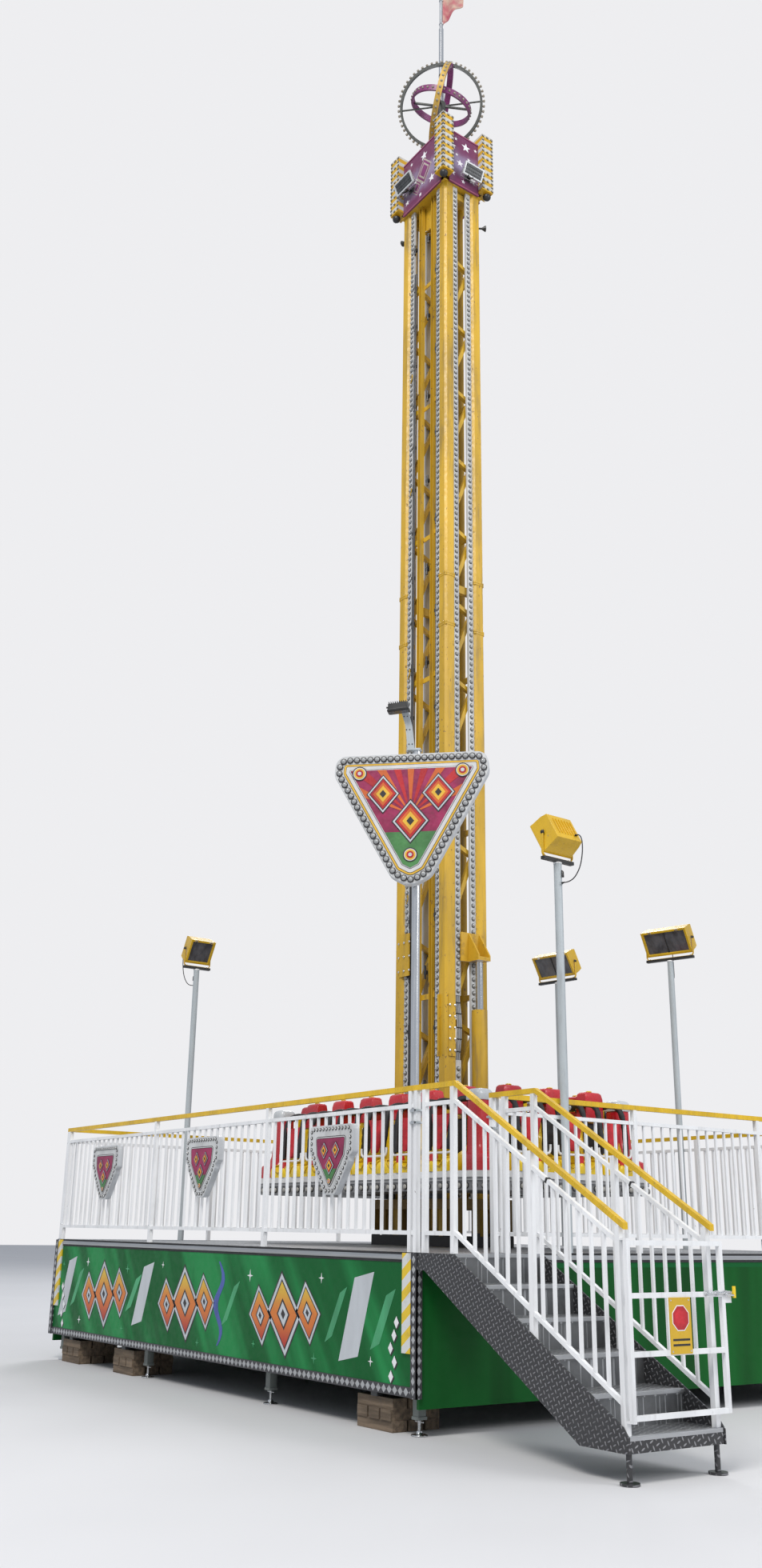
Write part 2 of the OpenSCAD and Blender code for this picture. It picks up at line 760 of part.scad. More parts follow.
module lattice_right() {
    color("goldenrod") lattice();
}

module lattice_left() {
    color("goldenrod") mirror([1, 0, 0]) lattice();
}

module guide_rails() {
    ye = leg_y;
    xi = leg_x - leg_w / 2;
    color("goldenrod") for (s = [-1, 1]) {
        for (x = [-guide_x, guide_x]) difference() {
            translate([x - guide_w / 2, s * ye - guide_w / 2, base_z])
                cube([guide_w, guide_w, tower_z - base_z]);
            translate([x - guide_w / 2 + 8, s * (ye + 8) - guide_w / 2, base_z - 1])
                cube([guide_w - 16, guide_w, tower_z - base_z + 2]);
        }
        for (z = [base_z + 200 : tie_p : tower_z - 300]) {
            for (m = [-1, 1]) translate([m * (xi + guide_x + guide_w / 2) / 2
                - (xi - guide_x - guide_w / 2) / 2, s * ye - 20 - s * 10, z])
                cube([xi - guide_x - guide_w / 2, 40, 60]);
            translate([-guide_x, s * (ye - guide_w / 2) - 6, z]) cube([2 * guide_x, 12, 60]);
        }
    }
}

module light_strips() {
    xi = leg_x - leg_w / 2;
    yi = leg_y - leg_w / 2;
    xo = tower_w / 2 - leg_c - 2;
    yo = tower_d / 2 - leg_c - 2;
    h = tower_z - base_z;
    color("ivory") {
        for (x = [-1, 1], y = [-1, 1]) translate([x * (xi - strip_w / 2) - strip_w / 2,
            y * (yo - strip_t / 2) - strip_t / 2, base_z]) cube([strip_w, strip_t, h]);
        for (x = [-1, 1], y = [-1, 1]) difference() {
            translate([x * (xo - strip_t / 2) - strip_t / 2,
                y * (yi - strip_w / 2) - strip_w / 2, base_z]) cube([strip_t, strip_w, h]);
            if (x > 0 && y < 0) translate([xo - strip_t - 1, -yi - 1, hinge_z - 30])
                cube([strip_t + 2, strip_w + 2, hinge_l + 30]);
        }
    }
}

module hoist_ropes() {
    color("gray") for (s = [-1, 1]) translate([0, s * 60, deck_z + 120])
        cylinder(h = tower_z - deck_z - 120, d = rope_d);
}

module hinge_plates() {
    ye = tower_d / 2;
    color("goldenrod") {
        translate([tower_w / 2, -ye + leg_c + 4, hinge_z])
            cube([splice_t, leg_w - 2 * leg_c - 8, hinge_l]);
        translate([leg_x - leg_w / 2 + leg_c, -ye - splice_t * 2, hinge_z])
            cube([splice_t * 2, splice_t * 2, hinge_l]);
        translate([-leg_x + leg_w / 2 - leg_c - 24, -ye - splice_t, splice_z])
            cube([leg_w + 35, splice_t, splice_l]);
    }
}

module cylinder_barrel() {
    color("gold") translate([cyl_x, cyl_y, deck_z]) {
        cylinder(h = cyl_z - deck_z, d = cyl_d);
        translate([-cyl_d / 2 - 6, -cyl_d / 2 - 6, 0]) cube([cyl_d + 12, cyl_d + 12, 60]);
    }
}

module cylinder_rod() {
    color("silver") translate([cyl_x, cyl_y, cyl_z]) cylinder(h = bracket_z - cyl_z, d = rod_d);
    color("goldenrod") translate([tower_w / 2, -100, bracket_z]) {
        cube([20, 330, 320]);
        translate([0, 100, 0]) cube([190, 170, 40]);
        for (y = [100, 250]) translate([0, y + 20, 0]) rotate([90, 0, 0]) linear_extrude(20)
            polygon([[0, 0], [190, 0], [190, 60], [20, 320], [0, 320]]);
    }
}

module tower_head() {
    color("goldenrod") {
        translate([-tower_w / 2, -tower_d / 2, tower_z]) cube([tower_w, tower_d, 30]);
        for (x = [-1, 1], y = [-1, 1]) translate([x * (leg_x - 5) - 30, y * (leg_y - 5) - 30,
            tower_z + 30]) cube([60, 60, crown_h - 60]);
        translate([-crown_x + crown_t, -crown_y + crown_t, crown_top - 30])
            cube([2 * (crown_x - crown_t), 2 * (crown_y - crown_t), 30]);
        translate([0, 0, tower_z]) linear_extrude(16) square(2 * [crown_x - crown_t,
            crown_y - crown_t], center = true);
        for (y = [-166, -96]) translate([0, y, tower_z - 190]) rotate([90, 0, 0])
            linear_extrude(14) difference() {
                union() {
                    circle(210);
                    translate([-210, 0]) square([420, 190]);
                }
                circle(34);
            }
        translate([0, -96, tower_z - 190]) rotate([90, 0, 0]) cylinder(h = 84, d = 68);
        translate([0, -114, tower_z - 190]) rotate([90, 0, 0]) cylinder(h = 48, r = 170);
    }
}

module crown_panels() {
    cx = crown_x - lamp_w / 2;
    cy = crown_y - lamp_w / 2;
    color("purple") for (s = [-1, 1]) {
        translate([-cx, s * (crown_y - crown_t / 2) - crown_t / 2, tower_z])
            cube([2 * cx, crown_t, crown_h]);
        translate([s * (crown_x - crown_t / 2) - crown_t / 2, -cy, tower_z])
            cube([crown_t, 2 * cy, crown_h]);
    }
}

module crown_lamps() {
    w = lamp_w / 2;
    color("gold") for (x = [-1, 1], y = [-1, 1]) {
        difference() {
            translate([x * crown_x - w, y * crown_y - w, lamp_z]) cube([lamp_w, lamp_w, lamp_h]);
            translate([-crown_x + crown_t, -crown_y + crown_t, tower_z])
                cube([2 * (crown_x - crown_t), 2 * (crown_y - crown_t), crown_h]);
        }
        translate([x * (crown_x + 30), y * (crown_y + 30), lamp_z - 40]) sphere(d = 110);
    }
}

module crown_floodlights() {
    color("dimgray") {
        translate([-410, -crown_y - 200, 14910]) cube([380, 110, 190]);
        translate([-240, -crown_y - 91, 14980]) cube([40, 91, 40]);
        translate([crown_x + 90, -110, 14760]) cube([110, 330, 190]);
        translate([crown_x, 35, 14830]) cube([91, 40, 40]);
    }
}

module ring(r, t, w) {
    rotate_extrude() translate([r - t, -w / 2]) square([t, w]);
}

module crown_rings() {
    color("darkslategray") translate([0, 0, ring_z]) {
        rotate([0, 0, 45]) rotate([90 + 22, 0, 0]) ring(ring_r, ring_t, ring_w);
        rotate([0, 0, 45]) rotate([0, 14, 0]) rotate([0, 90, 10]) ring(ribbon_r + 1, ring_t, ribbon_w);
        rotate([0, 0, 45]) rotate([12, 17, 0]) ring(tilt_r, ring_t, ribbon_w);
        difference() {
            union() {
                translate([0, 0, -ring_r + 40]) cylinder(h = ring_r, d = pole_d + 40);
                for (a = [0 : 90 : 270]) rotate([0, 0, 45 + a]) rotate([0, a == 0 ? 17 : a == 180 ? -17
                    : a == 90 ? -12 : 12, 0]) translate([0, -12, -12]) cube([tilt_r - 10, 24, 24]);
                for (s = [-1, 1]) rotate([0, 0, 45]) rotate([22, 0, 0]) rotate([0, 90, 0])
                    translate([0, 0, s > 0 ? 0 : -ring_r + 10]) cylinder(h = ring_r - 10, d = 24);
            }
            translate([0, 0, -ring_r - 200]) cylinder(h = ring_r * 3, d = pole_d);
        }
    }
}

module flagpole() {
    color("silver") {
        translate([0, 0, crown_top]) cylinder(h = 1400, d = pole_d);
        translate([0, 0, crown_top]) cylinder(h = 16, d = pole_d * 2.4);
        translate([0, 0, crown_top + 1400]) cylinder(h = 970, d = pole_d * 0.75);
        translate([0, 0, crown_top + 2370]) cylinder(h = pole_z - crown_top - 2370, d = 50);
        translate([0, 0, pole_z]) sphere(d = 90);
    }
}

flag_z = pole_z - 1020;
flag_h = 950;

module flag() {
    color("rosybrown") translate([0, 0, flag_z]) rotate([0, 0, 45]) linear_extrude(flag_h)
        polygon([[25, -6], [80, 14], [140, -22], [210, 20], [270, -14], [330, 12], [330, 24],
            [270, -2], [210, 32], [140, -10], [80, 26], [25, 6]]);
}

module gondola_carriage() {
    color("dimgray") {
        for (z = [low_z - 100, upper_z - 100]) translate([0, 0, z]) linear_extrude(100)
            frame2d(2 * well_x, 2 * well_y, tube_w);
        for (x = [-well_x + tube_w / 2, -roller_x, roller_x, well_x - tube_w / 2], s = [-1, 1])
            translate([x - 30, s * (well_y - tube_w / 2) - 30, low_z]) cube([60, 60,
                upper_z - low_z - 100]);
        for (x = [-roller_x, roller_x], s = [-1, 1], z = [low_z - 50, upper_z - 50]) {
            for (e = [-1, 1]) translate([x + e * (roller_w / 2 + 11) - 6,
                s > 0 ? roller_y - 25 : -ring_y - 1, z - 50])
                cube([12, ring_y - roller_y + 26, 100]);
            translate([x, s * roller_y, z]) rotate([0, 90, 0]) {
                cylinder(h = roller_w, r = roller_r, center = true);
                cylinder(h = roller_w + 34, d = 30, center = true);
            }
        }
        for (x = [-roller_x, roller_x], s = [-1, 1])
            translate([x - roller_w / 2 - 17, s > 0 ? roller_y - 25 : -ring_y - 1, base_z + seat_gap])
                cube([roller_w + 34, ring_y - roller_y + 26, low_z - 100 - seat_gap - base_z]);
    }
}

// Ring of the platform, inset by e from its outer edge, from height z up by t.
module deck_ring(e, z, t) {
    translate([0, 0, z]) linear_extrude(t) difference() {
        rrect(plat_l - 2 * e, plat_w - 2 * e, plat_r - e);
        square([2 * well_x, 2 * well_y], center = true);
    }
}

module gondola_platform() {
    color("lightgray") {
        deck_ring(0, plat_z - lip_t, lip_t);
        deck_ring(14, plat_z - lip_t - band_t, band_t);
        deck_ring(26, plat_z - lip_t - band_t - bulb_t, bulb_t);
    }
}

// Front face of the seat back at the height z above the platform.
function back_line(z) = back_v1 - 20 * (z - pan_h - 90) / (back_h - 120 - pan_h);

pan_d = 545;
pan_h = 100;
front_h = 128;
back_v0 = 45;
back_v1 = 120;

module seat_pans() {
    color("gold") for (r = rows) row_at(r) per_seat(r[2]) difference() {
        across(seat_w) polygon([[0, 0], [pan_d - 40, 0], [pan_d, 40], [pan_d, front_h - 30],
            [pan_d - 30, front_h], [pan_d - 130, front_h], [pan_d - 230, pan_h], [0, pan_h]]);
        for (s = [-1, 1]) translate([s * 92, 180, front_h + 28]) rotate([-90, 0, 0])
            cylinder(h = pan_d, r = 78);
    }
}

module seat_backs() {
    color("gold") for (r = rows) row_at(r) {
        per_seat(r[2]) across(seat_w) polygon([[back_v0 - 45, pan_h], [back_v1 + 55, pan_h],
            [back_v1, pan_h + 90], [back_v1 - 20, back_h - 30], [back_v1 - 50, back_h], [0, back_h]]);
        for (i = [0 : r[2]]) translate([(i - r[2] / 2) * seat_p - (i == 0 ? 0 : i == r[2] ? 40 : 20),
            0, back_h - 1]) difference() {
            translate([0, -20, 0]) cube([40, 70, shaft_h - back_h + 10]);
            translate([-1, shaft_v - shaft_d / 2 - shaft_gap,
                shaft_h - back_h + 1 - shaft_d / 2 - shaft_gap])
                cube([42, shaft_d + 2 * shaft_gap, 100]);
        }
    }
}

module seat_wings() {
    color("gold") for (r = rows) row_at(r) per_seat(r[2]) for (s = [-1, 1])
        translate([s * (seat_w / 2 - wing_t / 2), 0, 0]) across(wing_t)
            polygon([[back_v1 + 55, pan_h], [pan_d - 230, pan_h], [300, pan_h + 110],
                [250, back_h - 130], [205, back_h - 20], [170, back_h], [back_v1 - 50, back_h],
                [back_v1 - 20, back_h - 30], [back_v1, pan_h + 90]]);
}

module seat_pads() {
    w = seat_w - 2 * wing_t - 30;
    color("black") for (r = rows) row_at(r) per_seat(r[2]) {
        across(w) polygon([[back_line(pan_h + 110) + seat_gap, pan_h + 110],
            [back_v1 + pad_back, pan_h + 110], [back_v1 + pad_back - 20, back_h - 40],
            [back_line(back_h - 40) + seat_gap, back_h - 40]]);
    }
    color("firebrick") for (r = rows) row_at(r) per_seat(r[2])
        translate([-24, pan_d - 80, front_h]) cube([48, 70, 36]);
}

module head_boxes() {
    color("firebrick") for (r = rows) row_at(r) per_seat(r[2]) {
        intersection() {
            across(head_w) translate([back_v0, back_h]) polygon([[0, 0], [head_d, 0],
                [head_d, head_h * 0.2], [head_d - 6, head_h * 0.9], [head_d - 32, head_h],
                [26, head_h], [0, head_h * 0.84]]);
            translate([0, back_v0 + head_d + 1, back_h]) rotate([90, 0, 0])
                linear_extrude(head_d + 2) polygon([[-head_w / 2, 0], [head_w / 2, 0],
                    [head_w / 2, head_h * 0.25], [head_w / 2 - 6, head_h * 0.88],
                    [head_w / 2 - 34, head_h], [-head_w / 2 + 34, head_h],
                    [-head_w / 2 + 6, head_h * 0.88], [-head_w / 2, head_h * 0.25]]);
        }
        translate([-40, back_v0 + 30, back_h + head_h]) cube([80, 70, 18]);
    }
}

module corner_columns() {
    z = foot_h;
    color("firebrick") for (x = [-1, 1], y = [-1, 1]) {
        translate([x * col_x, y * col_y, plat_z]) linear_extrude(col_h)
            rrect(col_w - 12, col_w - 12, 50);
        translate([x * (col_x + foot_out), y * (col_y + 30), plat_z]) linear_extrude(z - 20)
            rrect(col_w * 2, col_w * 1.25, col_w / 2);
        hull() {
            translate([x * (col_x + foot_out * 0.9), y * (col_y + 27), plat_z + z - 21])
                linear_extrude(1) rrect(col_w * 1.9, col_w * 1.2, col_w / 2);
            translate([x * col_x, y * col_y, plat_z + z * 2]) linear_extrude(1)
                rrect(col_w, col_w, 50);
        }
    }
}

module column_domes() {
    color("silver") for (x = [-1, 1], y = [-1, 1]) translate([x * col_x, y * col_y,
        plat_z + col_h]) {
        cylinder(h = 40, d = col_w);
        translate([0, 0, 40]) intersection() {
            sphere(r = col_w / 2);
            translate([-col_w, -col_w, 0]) cube([2 * col_w, 2 * col_w, col_w]);
        }
    }
}

// Shaft, shoulder arms, vests and grab bars of one row, in the row frame.
module restraint_row(n) {
    knee = shaft_h - 50;
    foot = shaft_h - arm_d;
    inner = arm_u - arm_t / 2;
    color("black") {
        translate([-n * seat_p / 2, shaft_v, shaft_h]) rotate([0, 90, 0])
            cylinder(h = n * seat_p, d = shaft_d);
        per_seat(n) for (s = [-1, 1]) translate([s * arm_u, 0, 0]) {
            across(arm_t) polygon([[shaft_v - 20, shaft_h - 18], [shaft_v + 60, shaft_h - 22],
                [arm_v - 70, shaft_h - 24], [arm_v - 30, knee], [arm_v + 30, knee],
                [arm_v + 16, shaft_h - 4], [arm_v - 24, shaft_h + 28],
                [shaft_v + 60, shaft_h + 30], [shaft_v - 20, shaft_h + 18]]);
            across(arm_t) polygon([[arm_v - 30, knee], [arm_v + 20, foot], [arm_v + 66, foot],
                [arm_v + 30, knee]]);
        }
    }
    color("firebrick") per_seat(n) translate([0, arm_v + 24, foot + 60])
        rotate([90, 0, 0]) linear_extrude(44) polygon([[-60, 0], [60, 0],
            [inner, arm_d - 190], [-inner, arm_d - 190]]);
    color("white") per_seat(n) translate([0, arm_v + 43, foot - grab_d / 2]) {
        translate([-grab_l / 2, 0, 0]) rotate([0, 90, 0]) cylinder(h = grab_l, d = grab_d);
        for (s = [-1, 1]) translate([s * (grab_l / 2 - grab_d / 2), 0, 0])
            cylinder(h = 80, d = grab_d);
    }
}

module restraints_front() {
    row_at(rows[0]) restraint_row(rows[0][2]);
}

module restraints_back() {
    row_at(rows[1]) restraint_row(rows[1][2]);
}

module restraints_left() {
    row_at(rows[2]) restraint_row(rows[2][2]);
}

module restraints_right() {
    row_at(rows[3]) restraint_row(rows[3][2]);
}

// Floodlight masts: x, y, turn of the head about the mast and width of the head.
fm = [[fence_right_x + hand_w / 2 + fmast_d / 2, -1300, 92, flood_w],
    [fence_left_x + hand_w / 2 + fmast_d / 2, -1350, -90, flood_w],
    [-1045, fence_back_y - hand_w / 2 - fmast_d / 2, 187, twin_w],
    [905, fence_back_y - hand_w / 2 - fmast_d / 2, 194, twin_w]];

module flood_masts() {
    color("silver") for (p = fm) translate([p[0], p[1], deck_z]) {
        cylinder(h = fmast_z - deck_z, d = fmast_d);
        rotate([0, 0, p[2]]) translate([-12, -fmast_d / 2 - 12,
            fmast_z - deck_z - 190]) cube([24, fmast_d / 2, 24]);
    }
}

module flood_heads() {
    y = -flood_t / 2 - 45;
    color("gold") for (p = fm) translate([p[0], p[1], fmast_z]) rotate([0, 0, p[2]]) {
        cylinder(h = 20, d = fmast_d + 8);
        translate([-p[3] / 2 - 17, -25, 10]) cube([p[3] + 34, 50, 38]);
        for (s = [-1, 1]) translate([s * (p[3] / 2 + 11) - 6, -22, 40]) cube([12, 44, 245]);
        translate([0, 0, 263]) rotate([-flood_a, 0, 0]) {
            translate([-p[3] / 2, -flood_t / 2, -flood_h / 2]) cube([p[3], flood_t, flood_h]);
            for (s = [-1, 1]) translate([s * (p[3] / 2 + 9), 0, 0]) rotate([0, 90, 0])
                cylinder(h = 30, d = 26, center = true);
        }
        translate([90, y, 250]) rotate([-90, 0, 0]) cylinder(h = 60, d = 24);
    }
}

function unit(v) = v / norm(v);

// Direction of the route p at its point i.
function heading(p, i) = unit(p[min(i + 1, len(p) - 1)] - p[max(i - 1, 0)]);

// Eight points round the route p at its point i, for the diameter d.
function round8(p, i, d) = let (t = heading(p, i), a = unit(cross(t, [1, 0, 0])), b = cross(t, a))
    [for (j = [0 : 7]) p[i] + (a * cos(j * 45) + b * sin(j * 45)) * d / 2];

// Cable of the diameter d swept along the route p.
module cable(p, d) {
    m = len(p) - 1;
    polyhedron(points = [for (i = [0 : m]) each round8(p, i, d)],
        faces = concat([[for (j = [0 : 7]) 7 - j]], [[for (j = [0 : 7]) m * 8 + j]],
            [for (i = [0 : m - 1], j = [0 : 7]) [i * 8 + j, i * 8 + (j + 1) % 8,
                i * 8 + 8 + (j + 1) % 8, i * 8 + 8 + j]]), convexity = 6);
}

lead_d = 10;

module lamp_leads() {
    y = -flood_t / 2 - 45;
    e = -fmast_d / 2 - 12;
    color("black") for (p = fm) translate([p[0], p[1], fmast_z]) rotate([0, 0, p[2]])
        cable([[90, y, 250], [90, y - 18, 250], [90, y - 40, 244], [89, y - 58, 229],
            [88, y - 71, 206], [87, y - 79, 177], [85, y - 83, 142], [83, y - 84, 102],
            [80, y - 82, 60], [76, y - 77, 17], [71, y - 69, -26], [64, y - 57, -67],
            [55, y - 41, -104], [45, y - 21, -136], [33, y + 4, -160], [20, y + 31, -173],
            [8, y + 56, -178], [0, e - 18, -178], [0, e, -178]], lead_d);
}

module supply_hoses() {
    x = tower_w / 2 - leg_c - 2 - strip_t / 2;
    y = -leg_y + leg_w / 2 + strip_w / 2;
    z1 = hinge_z + hinge_l;
    z0 = hinge_z - 30;
    k = (z1 - z0) / 8;
    color("black") for (s = [-1, 0, 1]) translate([x, y + s * (hose_d + 2), 0])
        cable([[0, 0, z1], [0, 0, z1 - k * 0.6], [4, 0, z1 - k], [13, 1, z1 - k * 1.6],
            [21, 1, z1 - k * 2.3], [27, 2, z1 - k * 3.1], [29, 2, z1 - k * 4], [27, 2, z1 - k * 4.9],
            [21, 1, z1 - k * 5.7], [13, 1, z1 - k * 6.4], [4, 0, z1 - k * 7],
            [0, 0, z1 - k * 7.4], [0, 0, z0]], hose_d);
}

module gate_frame() {
    color("white") translate([gate_x - gate_t / 2, gate_y, stair_foot]) {
        for (y = [0, gate_l - gate_t]) translate([0, y, 0]) cube([gate_t, gate_t, gate_h]);
        for (z = [0, 348, 678, gate_h - gate_t]) translate([0, 0, z]) cube([gate_t, gate_l, gate_t]);
        translate([gate_t / 2, gate_t / 2, -seat_gap - 12])
            cylinder(h = gate_h + 2 * seat_gap + 24, d = gate_pin);
    }
    color("gold") translate([gate_x - gate_t / 2, gate_y + gate_l - 1, stair_foot + 640])
        cube([gate_t, 60, 70]);
}

module gate_plate() {
    color("gold") translate([gate_x + gate_t / 2, gate_y + 345, stair_foot + 355])
        cube([6, gplate_w, gplate_h]);
}

deck_frame();
chassis_rails();
stack_posts();
deck_floor();
edge_rail();
front_fascia();
fascia_trim();
hazard_strips();
side_skirts();
jack_legs();
timber_blocks();
stair_stringers();
stair_treads();
stair_rails();
handrails();
gate_frame();
gate_plate();
fence_front();
fence_left();
fence_right();
fence_back();
fence_signs();
sign_mast();
sign_board();
sign_floodlight();
tower_base();
tower_posts();
lattice_right();
lattice_left();
guide_rails();
light_strips();
hoist_ropes();
hinge_plates();
cylinder_barrel();
cylinder_rod();
tower_head();
crown_panels();
crown_lamps();
crown_floodlights();
crown_rings();
flagpole();
flag();
gondola_carriage();
gondola_platform();
seat_pans();
seat_backs();
seat_wings();
seat_pads();
head_boxes();
corner_columns();
column_domes();
restraints_front();
restraints_back();
restraints_left();
restraints_right();
flood_masts();
flood_heads();
lamp_leads();
supply_hoses();
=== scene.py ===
from math import atan, atan2, cos, degrees, dist, pi, radians, sin, tan

import bmesh
import bpy
from mathutils import Matrix, Vector


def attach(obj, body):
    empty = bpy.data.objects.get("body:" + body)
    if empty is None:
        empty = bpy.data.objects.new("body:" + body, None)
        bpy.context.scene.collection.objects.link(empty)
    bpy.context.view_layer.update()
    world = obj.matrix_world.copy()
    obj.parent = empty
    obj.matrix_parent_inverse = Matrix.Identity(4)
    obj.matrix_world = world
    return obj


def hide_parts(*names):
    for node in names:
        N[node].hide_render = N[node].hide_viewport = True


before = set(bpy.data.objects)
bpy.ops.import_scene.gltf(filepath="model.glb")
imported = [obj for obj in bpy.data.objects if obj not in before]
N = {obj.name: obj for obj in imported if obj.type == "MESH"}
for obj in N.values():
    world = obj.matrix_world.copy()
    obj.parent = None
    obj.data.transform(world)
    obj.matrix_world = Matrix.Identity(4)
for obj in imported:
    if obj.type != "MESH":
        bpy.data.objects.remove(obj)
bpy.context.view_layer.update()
scene = bpy.context.scene
scene.view_settings.view_transform = "Standard"

# Camera, matched to the photograph
YAW, PITCH, ROLL = radians(54.7), radians(18.635), radians(0.9)
EYE = (11.533, -9.025, 1.4)
FOCAL, HEIGHT, SENSOR = 1649, 1960, 36  # pixels, pixels, millimetres
ahead = Vector((-sin(YAW) * cos(PITCH), cos(YAW) * cos(PITCH), sin(PITCH)))
right = Vector((cos(YAW), sin(YAW), 0))
up = right.cross(ahead)
axes = Matrix((right * cos(ROLL) + up * sin(ROLL), up * cos(ROLL) - right * sin(ROLL), -ahead))
cam = bpy.data.objects.new("camera", bpy.data.cameras.new("camera"))
scene.collection.objects.link(cam)
cam.matrix_world = Matrix.Translation(EYE) @ axes.transposed().to_4x4()
cam.data.sensor_fit = "VERTICAL"
cam.data.sensor_width = cam.data.sensor_height = SENSOR
cam.data.lens = FOCAL / HEIGHT * SENSOR
cam.data.clip_end = 300
scene.camera = cam

# Materials
SIGNS = {"+": "ADD", "-": "SUBTRACT", "*": "MULTIPLY", "/": "DIVIDE"}
mats = {}


class Mat:
    """A small helper round a node tree."""

    def __init__(self, name):
        self.m = bpy.data.materials.new(name)
        self.m.use_nodes = True
        self.t = self.m.node_tree
        self.b = self.t.nodes["Principled BSDF"]

    def n(self, kind, **kw):
        node = self.t.nodes.new(kind)
        for k, v in kw.items():
            setattr(node, k, v)
        return node

    def put(self, sock, val):
        if hasattr(val, "is_output"):
            self.t.links.new(val, sock)
        else:
            sock.default_value = (*val, 1) if sock.type == "RGBA" else val

    def pos(self):
        return self.n("ShaderNodeTexCoord").outputs["Object"]

    def xyz(self):
        q = self.n("ShaderNodeSeparateXYZ")
        self.put(q.inputs[0], self.pos())
        return q.outputs

    def op(self, kind, *args):
        """Math node, by its sign or by its own word."""
        q = self.n("ShaderNodeMath", operation=SIGNS.get(kind, kind))
        for s, v in zip(q.inputs, args):
            self.put(s, v)
        return q.outputs[0]

    def mix(self, fac, a, b):
        q = self.n("ShaderNodeMix", data_type="RGBA")
        for i, v in ((0, fac), (6, a), (7, b)):
            self.put(q.inputs[i], v)
        return q.outputs[2]

    def noise(self, scale, detail=3, stretch=None, vector=None):
        q = self.n("ShaderNodeTexNoise")
        q.inputs["Scale"].default_value = scale
        q.inputs["Detail"].default_value = detail
        q.inputs["Roughness"].default_value = 0.5 if vector else 0.6
        p = vector or self.pos()
        if stretch:
            mp = self.n("ShaderNodeMapping")
            mp.inputs["Scale"].default_value = stretch
            self.put(mp.inputs[0], p)
            p = mp.outputs[0]
        self.put(q.inputs["Vector"], p)
        return q.outputs["Fac"]

    def ramp(self, fac, lo, hi, a=0.0, b=1.0):
        q = self.n("ShaderNodeMapRange", interpolation_type="SMOOTHSTEP")
        for i, v in enumerate((fac, lo, hi, a, b)):
            self.put(q.inputs[i], v)
        return q.outputs[0]

    def stain(self, c, col, scale, detail=4, lo=0.5, hi=0.8, most=1.0, stretch=None):
        """Colour c with cloudy patches of col over it."""
        return self.mix(self.ramp(self.noise(scale, detail, stretch), lo, hi, 0, most), c, col)

    def bump(self, h, depth, strength):
        q = self.n("ShaderNodeBump")
        q.inputs["Strength"].default_value = strength
        q.inputs["Distance"].default_value = depth
        self.put(q.inputs["Height"], h)
        self.put(self.b.inputs["Normal"], q.outputs[0])
        return self.m

    def out(self, color, rough, metal=0.0):
        for k, v in (("Base Color", color), ("Roughness", rough), ("Metallic", metal)):
            self.put(self.b.inputs[k], v)
        return self

    def finish(self, color, rough, grain, depth=0.001, strength=0.3):
        """Colour, roughness and a fine skin of the given scale."""
        return self.out(color, rough).bump(self.noise(grain, 2), depth, strength)


def scale3(c, k):
    return tuple(min(1, x * k) for x in c)


def painted(name, col, rough=0.4, metal=0.0, var=0.14, dirt=0.0, chip=0.0, chipcol=(0.2, 0.17, 0.14),
            scale=2.0, skin=0.3, coat=0.0, streak=(1, 1, 0.25)):
    """Paint with cloudy colour, rain streaks, chips down to what is under it and a fine skin."""
    m = Mat(name)
    c = m.stain(scale3(col, 1 - var), scale3(col, 1 + var * 0.6), scale, 4, 0.3, 0.7, 1, streak)
    rg = m.ramp(m.noise(scale * 9), 0.25, 0.75, rough - 0.08, rough + 0.12)
    if dirt:
        c = m.stain(c, (0.09, 0.08, 0.07), scale * 4, 6, 0.5, 0.78, dirt, (1, 1, 0.12))
    if chip:
        k = m.ramp(m.noise(34, 5, (1, 1, 0.5)), 0.72 - chip * 0.12, 0.75 - chip * 0.12)
        k = m.op("*", k, m.ramp(m.noise(3.1), 0.42, 0.6))
        c = m.mix(k, c, chipcol)
        rg = m.op("+", rg, m.op("*", k, 0.3))
    m.out(c, rg, metal)
    m.b.inputs["Coat Weight"].default_value = coat
    mats[name] = m.bump(m.op("+", m.noise(160, 2), m.op("*", m.noise(12, 2), 2.0)), 0.0012, skin)


def chequer(name, col, plane, pitch, dark=0.5):
    """Tread plate: raised bars set crosswise, coloured lighter than the low ground between them, with cloudy dirt
    over all.
    """
    m = Mat(name)
    s = m.xyz()
    a, b = [m.op("/", s["xyz".index(k)], pitch) for k in plane]
    a, b = m.op("+", a, m.op("*", b, 0.5)), m.op("-", b, m.op("*", a, 0.5))
    par = m.op("MODULO", m.op("ABSOLUTE", m.op("+", m.op("FLOOR", a), m.op("FLOOR", b))), 2)
    inv = m.op("-", 1, par)
    fa, fb = [m.op("-", m.op("FRACT", v), 0.5) for v in (a, b)]
    x = m.op("+", m.op("*", fa, inv), m.op("*", fb, par))
    y = m.op("+", m.op("*", fb, inv), m.op("*", fa, par))
    e = m.op("+", m.op("POWER", m.op("/", x, 0.15), 2), m.op("POWER", m.op("/", y, 0.46), 2))
    h = m.ramp(e, 1.1, 0.35)
    # The low ground is painted darker and the raised bars lighter, following the relief
    c = m.mix(h, scale3(col, dark), scale3(col, 1.15))
    c = m.stain(c, scale3(col, 0.35), 4, 5, 0.45, 0.75, 0.45)
    mats[name] = m.out(c, m.ramp(m.noise(20), 0.3, 0.7, 0.32, 0.57), 0.75).bump(h, 0.003, 1.0)


def brushed(name, col, rough, axis=2):
    """Bare metal with fine lines drawn along an axis and faint dull patches."""
    m = Mat(name)
    lines = [2.0 if i == axis else 90.0 for i in range(3)]
    c = m.mix(m.noise(3, 4), scale3(col, 0.85), scale3(col, 1.08))
    m.out(c, m.ramp(m.noise(1, 3, lines), 0.2, 0.8, rough - 0.07, rough + 0.15), 1.0)
    mats[name] = m.bump(m.noise(1, 2, lines), 0.0005, 0.3)


